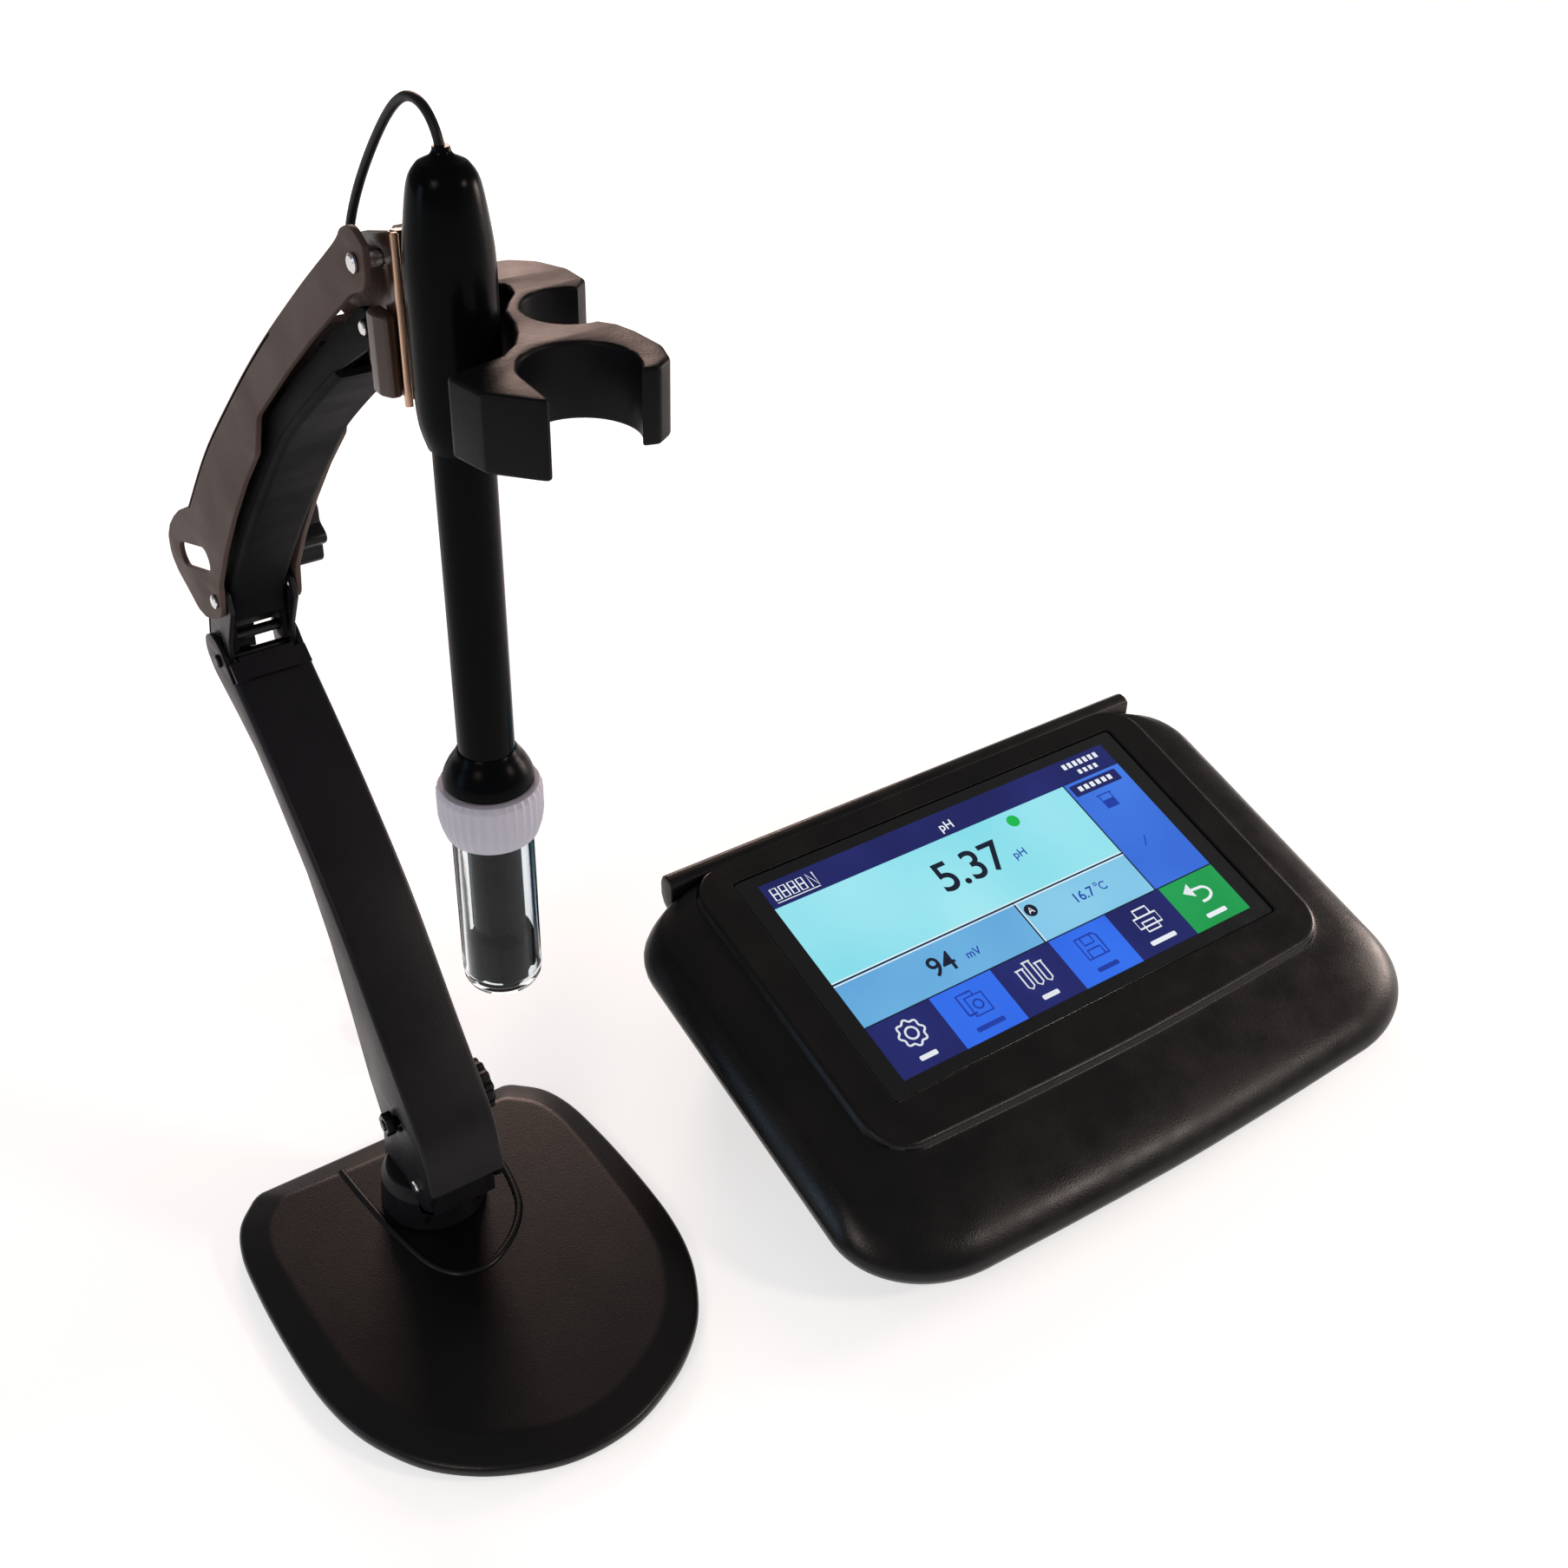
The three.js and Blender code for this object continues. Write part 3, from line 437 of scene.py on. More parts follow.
LOOP = [(0, 6.2, 339.8), (-0.1, 6.7, 342.4), (-0.2, 8.6, 345.4), (-0.4, 12, 347.7), (-0.7, 16.4, 348.2),
    (-1, 20.8, 346.4), (-1.4, 26, 342.2), (-1.8, 33, 334.6), (-2.1, 40, 326), (-2.3, 46, 316.8),
    (-2.4, 48.8, 309), (-2.4, 49.4, 303), (-2.4, 49.4, 299.4)]
COIL = (29.5, 146)
COIL_START = pi + 0.25
TURN_POINTS = 16
PLUG = (37.5, 178.5, 7.2)
PLUG_TURN = radians(-14)


def coil_points():
    """The tail off the base plate, eight turns in three layers, then out to the plug."""
    lead_in = spline_points([(18.1, 103.6, 3), (20.4, 109, 1.5), (21, 114, 1.05), (19.6, 121, 1.05),
        (17.6, 130, 1.05)], 3)
    turns = []
    layers = [(9.2, 1.05), (11.3, 1.05), (13.2, 1.05), (12.2, 2.9), (10.2, 2.9), (11.2, 4.75), (9.1, 4.75),
        (13.1, 4.7)]
    for turn, (radius, height) in enumerate(layers):
        following = layers[min(turn + 1, len(layers) - 1)]
        for k in range(TURN_POINTS):
            t = k / TURN_POINTS
            ease = max(0, (t - 0.72) / 0.28)
            ease = ease * ease * (3 - 2 * ease)
            r = radius + (following[0] - radius) * ease
            z = height + (following[1] - height) * ease
            angle = COIL_START - 2 * pi * t
            turns.append(Vector((COIL[0] + r * cos(angle), COIL[1] + r * sin(angle), z)))
    away = Vector((sin(-PLUG_TURN), cos(PLUG_TURN), 0))
    plug_end = Vector(PLUG) - away * 15.2
    lead_out = [Vector((17, 148.5, 4.9)), Vector((18.6, 154.5, 5.4)), Vector((23.6, 159.4, 6.2)),
        plug_end - away * 4.5, plug_end - away * 1.2, plug_end + away * 1.5]
    return [on_stand(*p) for p in [*lead_in, *turns, *lead_out]]


def lead():
    loop = [on_stand(*p) for p in LOOP]
    loop_piece = cord_curve("lead_loop_cord", loop, "head")
    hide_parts("lead_loop")
    route = coil_points()
    tail = cord_curve("lead_tail_cord", route, "root")
    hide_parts("lead_tail", "lead_coil")
    turn = Matrix.Rotation(PLUG_TURN, 4, "Z")

    def plugwise(u, v, w):
        p = turn @ Vector((u, w, v))
        return on_stand(PLUG[0] + p.x, PLUG[1] + p.y, PLUG[2] + p.z)

    boot = turned([(1.15, -20), (1.3, -19.4), (2.6, -14.6), (3.9, -12), (4.5, -10), (4.5, -5)], plugwise, 32)
    body = turned(arc_fillet([(0.1, -11), (4.7, -11), (5.1, -3), (5.1, 0), (7, 0.6), (7.2, 3), (7.2, 10.6),
        (6.7, 12), (4.9, 12), (4.9, 15), (4.1, 15), (4.1, 6), (0.1, 6)], 0.4, 3, False), plugwise, 72,
        lambda a, row: 1 + (0.018 * cos(24 * a) if 18 < row < 32 else 0))
    pin = turned([(0.1, 5), (0.8, 5), (0.8, 12), (0.3, 13), (0.1, 13)], plugwise, 16)
    plug = piece("bnc_plug_body", [body, pin], NICKEL, "root", "lead_bnc_plug", sharp=28)
    relief = piece("bnc_plug_boot", [boot], RUBBER, "root")
    tuple(loop[0])
    path_length(spline_points(loop, 4))
    tuple(on_stand(18.1, 103.6, 3))
    path_length(route)
    tie = []
    for k in range(25):
        a = 2 * pi * k / 24
        tie.append(on_stand(COIL[0] + 11.1 + 3.5 * cos(a), COIL[1], max(3.1 + 3.4 * sin(a), 0.65)))
    cord_curve("lead_tie", tie, "root", 0.45)


lead()


# ---- meter case ----
FLANK = [(-16, 121.2, -60.7, 40, 30), (-13, 121.5, -60.9, 40, 30), (-10, 119.9, -58.6, 38, 29),
    (-7, 117, -53.6, 36, 28), (-5, 113.6, -46.4, 33, 26), (-3.4, 107.5, -36.5, 27, 22),
    (-2.4, 99.6, -25, 18, 17), (-1.9, 98.5, -23.5, 15.5, 15.5), (-0.7, 97.8, -22.6, 14, 14),
    (-0.25, 97.4, -22.2, 13.6, 13.6), (0, 96.4, -21.2, 12.6, 12.6)]


def case_outline(half, front, rear, corner_x, corner_s, rear_corner, bow=2):
    """A box with a bowed front, elliptical front corners and round rear corners, on the slope."""
    right = circle(rear_corner, 8, (half - rear_corner, rear - rear_corner), pi / 2, -pi / 2)
    side_low, side_high = front + bow + corner_s, rear - rear_corner
    right += [(half, side_high + (side_low - side_high) * k / 10) for k in range(1, 10)]
    straight = half - corner_x
    right += [(straight + corner_x * x, side_low + corner_s * s) for x,
        s in circle(1, 24, (0, 0), 0, -pi / 2)]
    right += [(straight * (1 - k / 12), front + bow * (1 - k / 12) ** 1.6) for k in range(1, 12)]
    return [*right, (0, front), *[(-x, s) for x, s in reversed(right)]]


def slope_at(y, h):
    return (y + h * sin(TILT)) / cos(TILT)


def case_ring(h, half, front, corner_x, corner_s, inset=0):
    rear_corner = 12 + 6 * min(max((-2.4 - h) / 2, 0), 1)
    outline = case_outline(half - inset, front + inset, slope_at(REAR_Y, h) - inset, corner_x - inset,
        corner_s - inset, rear_corner - inset)
    return [on_slope(x, s, h) for x, s in outline]


def rounded_box(x0, x1, y0, y1, radius, count=6):
    left, right, low, high = x0 + radius, x1 - radius, y0 + radius, y1 - radius
    corners = enumerate([(right, low), (right, high), (left, high), (left, low)])
    return [p for k, corner in corners for p in circle(radius, count, corner, (k - 1) * pi / 2, pi / 2)]


def ring_fill(outer, inner):
    """The flat ground between two loops."""
    work = bmesh.new()
    edges = []
    for loop in (outer, inner):
        verts = [work.verts.new(p) for p in loop]
        edges += [work.edges.new((verts[i - 1], verts[i])) for i in range(len(verts))]
    bmesh.ops.triangle_fill(work, use_beauty=True, edges=edges)
    work.verts.index_update()
    points = [v.co.copy() for v in work.verts]
    faces = [tuple(v.index for v in f.verts) for f in work.faces]
    work.free()
    return points, faces


def upper_shell():
    smooth = spline_points(FLANK[:8], 5) + FLANK[8:]
    seam = [case_ring(-15.9, 117.4, -57, 37, 27), case_ring(-16.3, 118.6, -58.2, 38, 28),
        case_ring(-16.3, 120.7, -60.2, 39.6, 29.7), case_ring(-16, 121.15, -60.65, 40, 30)]
    loops = seam + [case_ring(*row) for row in smooth[1:]]
    top = FLANK[-1]
    rim = case_ring(*top, inset=0.5)
    loops.append(rim)

    def seat(grow, h, radius):
        return [on_slope(x, s, h) for x, s in rounded_box(-84.3 - grow, 84.3 + grow, -5.3 - grow, 87.8 + grow,
            radius)]

    frame_rim = seat(0.9, 0, 2.2)
    well = [frame_rim, seat(0.45, 0, 1.9), seat(0.15, -0.15, 1.7), seat(0.02, -0.5, 1.6), seat(0, -2.4, 1.6)]
    shell = rings(loops, False, False)
    piece("case_upper_shell", [shell, ring_fill(rim, frame_rim), rings(well, False, True)], CASE, "root",
        "upper_case", sharp=40)


def lower_shell():
    top = -16.9
    rim = case_outline(119.4, -58.9, slope_at(REAR_Y, top), 38, 28, 17)
    floor = case_outline(92, -44, REAR_Y, 30, 24, 10)
    rim_points = [on_slope(x, s, top) for x, s in rim]
    floor_points = [at(x, y, 3.2) for x, y in floor]

    def between(t, tuck):
        out = []
        for a, b in zip(floor_points, rim_points):
            p = a.lerp(b, t)
            centre = at(0, 20, 0)
            flat = Vector((centre.x - p.x, centre.y - p.y, 0))
            out.append(p + flat.normalized() * tuck * MM)
        return out

    under = [p.lerp(at(0, 20, 3.2), 0.03) for p in floor_points]
    loops = [under, between(0, 1.2), between(0.03, 0.4), between(0.08, 0), between(0.3, -0.7),
        between(0.55, -0.9), between(0.8, -0.7), between(0.97, 0), between(1, 0.6)]
    for loop in loops:
        for p in loop:
            p.y = min(p.y, at(0, REAR_Y, 0).y)
    lip = [p + Vector((0, 0, 0.6)) * MM for p in between(1, 3)]
    piece("case_lower_shell", [rings([*loops, lip], True, True)], CASE_LOW, "root", "lower_case", sharp=45)


def feet_and_screws():
    for i, (x, y) in enumerate([(-74, -30), (74, -30), (-74, 76), (74, 76)]):
        profile = [(AXIS, 0.5), (2.4, 0.5), (2.9, 0), (4.9, 0), (5.6, 0.2), (6, 0.8), (6, 2.6), (5.7, 3.2),
            (AXIS, 3.2)]
        piece(f"meter_foot_{i + 1}", [turned(profile, upright(x, y), 48)], RUBBER, "root", f"foot_{i + 1}")
    for i, (x, y) in enumerate([(-74, -10), (-74, 62), (74, -10), (74, 62)]):
        profile = [(AXIS, 3.9), (1.5, 3.9), (1.5, 3.42), (2.6, 3.42), (3, 3.8), (3, 4.7), (1.5, 4.9),
            (1.5, 13.6), (1.1, 14), (AXIS, 14)]
        drive = turned(profile, upright(x, y), 48)
        piece(f"meter_screw_{i + 1}", [drive], STEEL, "root", f"case_screw_{i + 1}")


def trim_bar():
    profile = arc_fillet([(92.1, 54.2), (92.1, 65.9), (94.4, 67.05), (96.7, 67.25), (98.7, 66), (99.4, 63.6),
        (99.2, 59), (97.6, 55.6), (95, 54.05)], 2.4, 5)

    def place(u, v, w):
        return at(w, u, v)

    piece("rear_bar", [prism(profile, -102.6, 102.6, 0.9, place)], CASE, "root", "rear_trim_bar", sharp=35)


upper_shell()
lower_shell()
feet_and_screws()
trim_bar()


# ---- rear connectors ----
SOCKET_Z = 27
BNC_X, REFERENCE_X, PROBE_X, POWER_X = -62, -40, -20, 34


def rear():
    def place(u, v, w):
        return at(u, w, v)

    def socket(x, profile, count):
        return turned(profile, lambda u, v, w: at(x + u, REAR_Y + w, SOCKET_Z + v), count)

    def disc(radius, low, high):
        return [(AXIS, low), (radius, low), (radius, high), (AXIS, high)]

    holes = [*[circle(r, n, (x, SOCKET_Z)) for r, n, x in ((6.2, 40, BNC_X), (4.2, 36, REFERENCE_X),
        (5.2, 36, PROBE_X), (4.7, 36, POWER_X))], oblong(6.8, 21.2, 23.4, 30.6, 0.5, 3),
        oblong(51.3, 61.7, 18.1, 35.9, 0.8, 3)]
    border = oblong(-78, 78, 12.3, 41.8, 2, 5)
    marks = [prism(oblong(x - 4, x + 4, 14.6, 15.6, 0.4, 3), 92.1, 92.5, 0.1, place)
        for x in (BNC_X, REFERENCE_X, PROBE_X, 14, POWER_X, 56.5)]
    piece("connector_panel", [prism(border, 89.9, 92.3, 0.25, place, holes)], CASE_LOW, "root", "rear_panel")
    piece("connector_marks", marks, LABEL, "root")

    bnc = arc_fillet([(2.2, -6), (6, -6), (6, 1), (7.6, 1), (7.6, 3.4), (4.9, 3.4), (4.9, 12), (3.9, 12),
        (3.9, 3), (2.2, 3)], 0.25, 2)
    core = socket(BNC_X, [(AXIS, 2), (1.9, 2), (1.9, 9), (0.9, 9.2), (0.9, 7), (AXIS, 7)], 32)
    lugs = [turned([(AXIS, 0), (1, 0), (1, 1.1), (0.7, 1.5), (AXIS, 1.5)], lambda u, v, w,
        h=hand: at(BNC_X + h * (4.8 + w), REAR_Y + 9.4 + u, SOCKET_Z + v), 20) for hand in (-1, 1)]
    piece("bnc_shell", [socket(BNC_X, bnc, 72), *lugs], NICKEL, "root", "bnc_socket", sharp=30)
    piece("bnc_core", [core], WHITE_PLASTIC, "root")

    def jack(bore, radius):
        return arc_fillet([(bore, -8), (radius, -8), (radius, 0.6), (radius + 2, 0.6), (radius + 2, 2.6),
            (radius, 4), (bore, 4)], 0.3, 2)

    piece("reference_jack", [socket(REFERENCE_X, jack(1.4, 4), 56), socket(REFERENCE_X, disc(1.5, -3, -2),
        24)], KNOB, "root", "reference_socket", sharp=30)
    pins = [turned([(AXIS, -4), (0.45, -4), (0.45, 1), (AXIS, 1.4)], lambda u, v, w, x=PROBE_X + dx,
        z=SOCKET_Z + dz: at(x + u, REAR_Y + w, z + v), 16) for dx, dz in ((-1.4, 0.9), (1.4, 0.9), (0, -1.5))]
    piece("temperature_shell", [socket(PROBE_X, jack(3.4, 5), 64)], NICKEL, "root", "temperature_socket",
        sharp=30)
    piece("temperature_pins", [socket(PROBE_X, disc(3.5, -4.2, -3.4), 32), *pins], KNOB, "root")
    piece("power_shell", [socket(POWER_X, jack(3.2, 4.5), 56)], KNOB, "root", "power_jack", sharp=30)
    piece("power_pin", [socket(POWER_X, [(AXIS, -7), (1, -7), (1, 1.6), (0.7, 2.2), (AXIS, 2.2)], 24),
        socket(POWER_X, disc(3.3, -7.4, -6.6), 32)], NICKEL, "root")
    shell = oblong(7, 21, 23.6, 30.4, 0.6, 3)
    mouth = oblong(7.9, 20.1, 24.5, 29.5, 0.3, 3)
    piece("usb_shell", [prism(shell, 80, 92.8, 0.15, place, [mouth]), prism(shell, 79, 80.4, 0.1, place)],
        NICKEL, "root", "usb_port")
    piece("usb_tongue", [prism(oblong(8.6, 19.4, 27.2, 28.9, 0.2, 2), 80, 91.6, 0.15, place)], WHITE_PLASTIC,
        "root")
    rocker = arc_fillet([(85, 22.5), (85, 31.5), (92.4, 34.8), (94.4, 34.8), (93.5, 27), (94.4, 19.2),
        (92.4, 19.2)], 0.7, 4)
    piece("rocker_cap", [prism(rocker, 51.9, 61.1, 0.5, lambda u, v, w: at(w, u, v))], KNOB, "rocker",
        "power_rocker", sharp=28)
    dash = prism(oblong(56.1, 56.9, 31, 33.2, 0.15, 2), 93.6, 94.25, 0.05, place)
    off = prism(circle(1.3, 32, (56.5, 21.4)), 93.6, 94.3, 0.05, place, [circle(0.85, 28, (56.5, 21.4))])
    piece("rocker_marks", [dash, off], LABEL, "rocker")


LABEL = moulded("label_ink", (0.42, 0.42, 0.44), 0.5, 700, 0.1)
WHITE_PLASTIC = moulded("white_plastic", (0.62, 0.61, 0.58), 0.45, 800, 0.15)
rear()


# ---- display ----
def display():
    n = Nodes("screen_glass")
    n.set("Base Color", n.mix(n.noise(20), (0.002, 0.002, 0.003), (0.004, 0.004, 0.006)))
    n.set("Roughness", n.remap(n.noise(160, 4), 0.3, 0.8, 0.12, 0.26))
    n.set("Coat Weight", 0.3)
    n.set("Coat Roughness", 0.08)
    outline = rounded_box(-84, 84, -5, 87.5, 1.5)
    piece("screen_cover", [prism(outline, -1.8, -0.6, 0.2, on_slope)], n.material, "root", "display_glass")
    cad("lcd_module", CASE_LOW)


def layer(level):
    """The height of the picture's plates, in thin steps above the glass."""
    return -0.56 + 0.03 * level


def flat_shape(outline, level=3):
    points = [on_slope(x, s, layer(level)) for x, s in outline]
    return points, [tuple(range(len(points)))]


def tile(x0, x1, s0, s1, level=0, radius=0):
    return flat_shape(oblong(x0, x1, s0, s1, radius, 4), level)


def stroke(points, width, level=3, closed=False):
    """A line of even width."""
    total = len(points)
    verts = []
    for hand in (1, -1):
        for i, p in enumerate(points):
            along = heading(points, i, closed)
            verts.append(on_slope(*(Vector(p) + Vector((-along.y, along.x)) * width / 2 * hand),
                layer(level)))
    steps = [(i, (i + 1) % total) for i in range(total if closed else total - 1)]
    return verts, [(i, j, total + j, total + i) for i, j in steps]


def numerals(text, x, s, size):
    curve = bpy.data.curves.new("numerals", "FONT")
    curve.body = text
    curve.size = size
    curve.align_x = "CENTER"
    curve.offset = size * 0.011
    return filled(curve, lambda u, v, w: on_slope(x + u, s + v, layer(3)))


def picture():
    W, X1, X2 = 76.85, -1, 50.0
    navy = lit("ui_navy", (0.012, 0.016, 0.11), (0.016, 0.022, 0.15))
    blue = lit("ui_blue", (0.028, 0.13, 0.78), (0.035, 0.17, 0.86))
    tag_blue = lit("ui_side_blue", (0.04, 0.15, 0.68), (0.055, 0.2, 0.78), 24)
    cyan = lit("ui_cyan", (0.24, 0.72, 0.82), (0.36, 0.8, 0.88), 16)
    middle = lit("ui_mid_blue", (0.12, 0.38, 0.7), (0.16, 0.46, 0.76), 20)
    light = lit("ui_light_blue", (0.2, 0.52, 0.76), (0.25, 0.6, 0.82), 20)
    green = lit("ui_green", (0.012, 0.3, 0.07), (0.016, 0.36, 0.09))
    dot = lit("ui_dot", (0.01, 0.52, 0.08))
    white = lit("ui_white", (0.85, 0.9, 0.95))
    ink = lit("ui_ink", (0.008, 0.012, 0.03))
    deep = lit("ui_deep_blue", (0.015, 0.05, 0.4))

    def show(name, parts, material):
        piece(name, parts, material, "root")

    button = 2 * W / 6
    edges = [-W + button * k for k in range(7)]
    centres = [(edges[k] + edges[k + 1]) / 2 for k in range(6)]
    buttons = [(edges[k], edges[k + 1], 0, 21.4) for k in range(6)]
    for name, plates, material in (("ui_top_bar", [(-W, W, 73, 83.2)], navy),
            ("ui_main_panel", [(-W, X2, 39.4, 73)], cyan), ("ui_left_cell", [(-W, X1, 21.4, 39.4)], middle),
            ("ui_right_cell", [(X1, X2, 21.4, 39.4)], light), ("ui_side_column", [(X2, W, 21.4, 73)],
            tag_blue), ("ui_dark_buttons", [*buttons[:5:2], (X2 + 1.6, W - 3, 66.6, 71.8, 1, 0.8)],
            navy), ("ui_blue_buttons", [buttons[1], buttons[3]], blue), ("ui_green_button", [buttons[5]],
            green), ("ui_rules", [(-W, X2, 39.1, 39.7, 1), (-W, W, 21.1, 21.6, 1),
            (X1 - 0.3, X1 + 0.3, 21.4, 39.4, 1), (X2 - 0.3, X2 + 0.3, 21.4, 73, 1)], ink),
            ("ui_rule_edges", [(-W, X2, 39.8, 40.2, 1), (X1 + 0.45, X1 + 0.85, 21.6, 39, 1),
            (-W, X2, 38.5, 38.9, 1)], white)):
        show(name, [tile(*plate) for plate in plates], material)
    badge = flat_shape(circle(2.5, 28, (2.9, 34.2)))
    show("ui_value", [numerals("5.37", -4.8, 53, 17.2), numerals("94", -39, 26.6, 10.6), badge], ink)
    show("ui_dot_mark", [flat_shape(circle(2.5, 32, (22.3, 68.2)))], dot)
    show("ui_units", [numerals("pH", 15.2, 54.2, 4.6), numerals("mV", -26.4, 27.8, 4.4),
        numerals("16.7", 24.4, 29.4, 5.6), stroke(circle(0.6, 12, (31.2, 33)), 0.35, 3, True),
        stroke(circle(1.5, 16, (33.8, 31.4), 0.7, 4.9), 0.5)], deep)
    show("ui_badge", [stroke([(1.9, 33.1), (2.9, 35.4), (3.9, 33.1)], 0.45, 4),
        stroke([(2.3, 33.9), (3.5, 33.9)], 0.4, 4)], white)

    # status marks in the top bar
    whites = []
    for k in range(4):
        x = -74.2 + k * 3.5
        whites += [stroke([(x, 75.6), (x, 80.4), (x + 2.2, 80.4), (x + 2.2, 75.6)], 0.55, 3, True),
            stroke([(x + 0.3, 78), (x + 2, 78)], 0.5)]
    whites += [stroke([(-59.6, 75.2), (-59.6, 80.8), (-57, 75.2), (-57, 80.8)], 0.5),
        stroke([(-74.4, 74.6), (-57, 74.6)], 0.35), numerals("pH", -1.6, 75.4, 5)]
    for count, first, pitch, width, low, high in ((7, 55.6, 2.5, 1.6, 78.8, 81.2), (4, 60, 2.5, 1.5, 75, 77),
            (6, 54.6, 2.8, 1.8, 68.2, 70.4)):
        starts = [first + pitch * k for k in range(count)]
        whites += [tile(x, x + width, low, high, 3) for x in starts]

    def word(k, count):
        x = centres[k]
        return tile(x - 1.15 * count, x + 1.15 * count, 3.1, 4.9, 3, 0.6)

    def icon(k, *lines):
        return [stroke([(centres[k] + x, s) for x, s in line], width, 3, closed) for line, width,
            closed in lines]

    whites += [word(k, count) for k, count in ((0, 3), (2, 3), (4, 5), (5, 4))]
    blues = [word(1, 5), word(3, 4)]
    gear = []
    for a in angles(48):
        reach = 4.6 + 0.5 * cos(8 * a)
        gear.append((reach * cos(a), 13.2 + reach * sin(a)))
    whites += icon(0, (gear, 0.75, True), (circle(2.2, 24, (0, 13.2)), 0.75, True))
    records = [(-4.6, 9.6), (-4.6, 17.6), (1.4, 17.6), (1.4, 16)]
    blues += icon(1, (records, 0.8, False), ([(-4.6, 9.6), (-1.2, 9.6)], 0.8, False),
        ([(-2.4, 8.4), (4.6, 8.4), (4.6, 15.8), (-2.4, 15.8)], 0.8, True), (circle(1.7, 18, (1, 12.2)), 0.7,
        True))
    for dx, top in ((-4, 16.4), (0, 18.2), (4, 16.4)):
        tube_line = [(dx - 1.2, top), (dx - 1.2, 9.4), (dx, 8.4), (dx + 1.2, 9.4), (dx + 1.2, top)]
        whites += icon(2, (tube_line, 0.6, False), ([(dx - 1.8, top), (dx + 1.8, top)], 0.6, False))
    disk = [(-4.4, 8.6), (-4.4, 17.4), (3.2, 17.4), (4.4, 16.2), (4.4, 8.6)]
    blues += icon(3, (disk, 0.8, True), ([(-2.2, 17.2), (-2.2, 14), (2, 14), (2, 17.2)], 0.7, False),
        ([(-2.8, 8.8), (-2.8, 12), (2.8, 12), (2.8, 8.8)], 0.7, False))
    printer = [(-5, 10.4), (-5, 14.6), (5, 14.6), (5, 10.4)]
    whites += icon(4, (printer, 0.7, True), ([(-3, 14.8), (-3, 17.8), (3, 17.8), (3, 14.8)], 0.7, False),
        ([(-2.8, 12.4), (-2.8, 8.4), (2.8, 8.4), (2.8, 12.4)], 0.7, True))
    arc = [(4.4 * sin(t), 12.6 - 2.9 * cos(t)) for t in [0.2 + 2.4 * k / 14 for k in range(15)]]
    whites += [*icon(5, ([(-1.4, 9.7), *arc, (-2.6, 15.4)], 1.1, False)),
        flat_shape([(centres[5] + x, s) for x, s in ((-2, 18.4), (-6, 15.4), (-2, 12.4))])]
    show("ui_marks", whites, white)
    show("ui_button_marks", blues, deep)
    # beaker and slash in the side column
    x = (X2 + W) / 2 - 1.6
    side = [stroke([(x - 2.6, 63.6), (x - 2.6, 57.6), (x + 2.6, 57.6), (x + 2.6, 63.6)], 0.5),
        stroke([(x - 3.4, 63.8), (x + 3.4, 63.8)], 0.5), tile(x - 2.4, x + 2.4, 57.8, 61.2, 2),
        stroke([(x - 1.4, 38), (x + 1.2, 42.2)], 0.45)]
    show("ui_side_marks", side, deep)


display()
picture()


# ---- stand base ----
BASE_RIGHT = [(0, -37.4), (11, -36.2), (21.5, -32.4), (33, -26), (43.5, -16.4), (51, -4.2), (55.2, 7),
    (57.6, 20), (58.4, 34), (58.4, 50), (57.8, 64), (56.4, 78), (53, 88.5), (47.5, 95), (42, 98.6)]
PIVOT_Y = 66
A1, A2 = (49, 34), (53.25, 30.5)
B1, B2 = (152, 159.3), (156.25, 155.8)
Q_OUTER, Q_INNER = (145.7, 182), (151.9, 166)
P_OUTER, P_INNER = (23.5, 316.2), (29.7, 300.2)
BASE_BOLT, ELBOW_BOLT = (61, 50.5), (154.5, 193)


def base_outline():
    curved = spline_points([(-11, -36.2), *BASE_RIGHT, (31, 98.6)], 6)
    start = next(i for i, p in enumerate(curved) if abs(p[0]) < 1e-6 and p[1] < 0)
    stop = next(i for i, p in enumerate(curved) if abs(p[0] - 42) < 1e-6 and p[1] > 90)
    right = curved[start:stop + 1]
    right += [(42 * (1 - k / 12), 98.6) for k in range(1, 12)]
    return [*right, (0, 98.6), *[(-x, y) for x, y in reversed(right[1:])]]


def inset_loop(points, inset):
    out = []
    for x, y in points:
        keep = 1 - inset / hypot(x, y - 32)
        out.append((x * keep - 1, 32 + (y - 32) * keep))
    return out


def tube(points, radius, count=12):
    """A round bar along a line of world points."""
    loops = []
    for i, p in enumerate(points):
        along = heading(points, i)
        aside = along.cross(Vector((0, 0, 1))).normalized()
        rise = aside.cross(along)
        loops.append([p + (aside * cos(a) + rise * sin(a)) * radius * MM for a in angles(count)])
    return rings(loops)


BEAD = [(22.9, 90), (22.9, 78), (22.9, 66.9), (21.6, 56.4), (18.8, 47), (13.4, 39.8), (6.6, 34.7),
    (1.4, 32.5), (-3.6, 32.5), (-9.3, 35), (-13.9, 43.2), (-17, 59), (-18.7, 75), (-19.8, 90)]


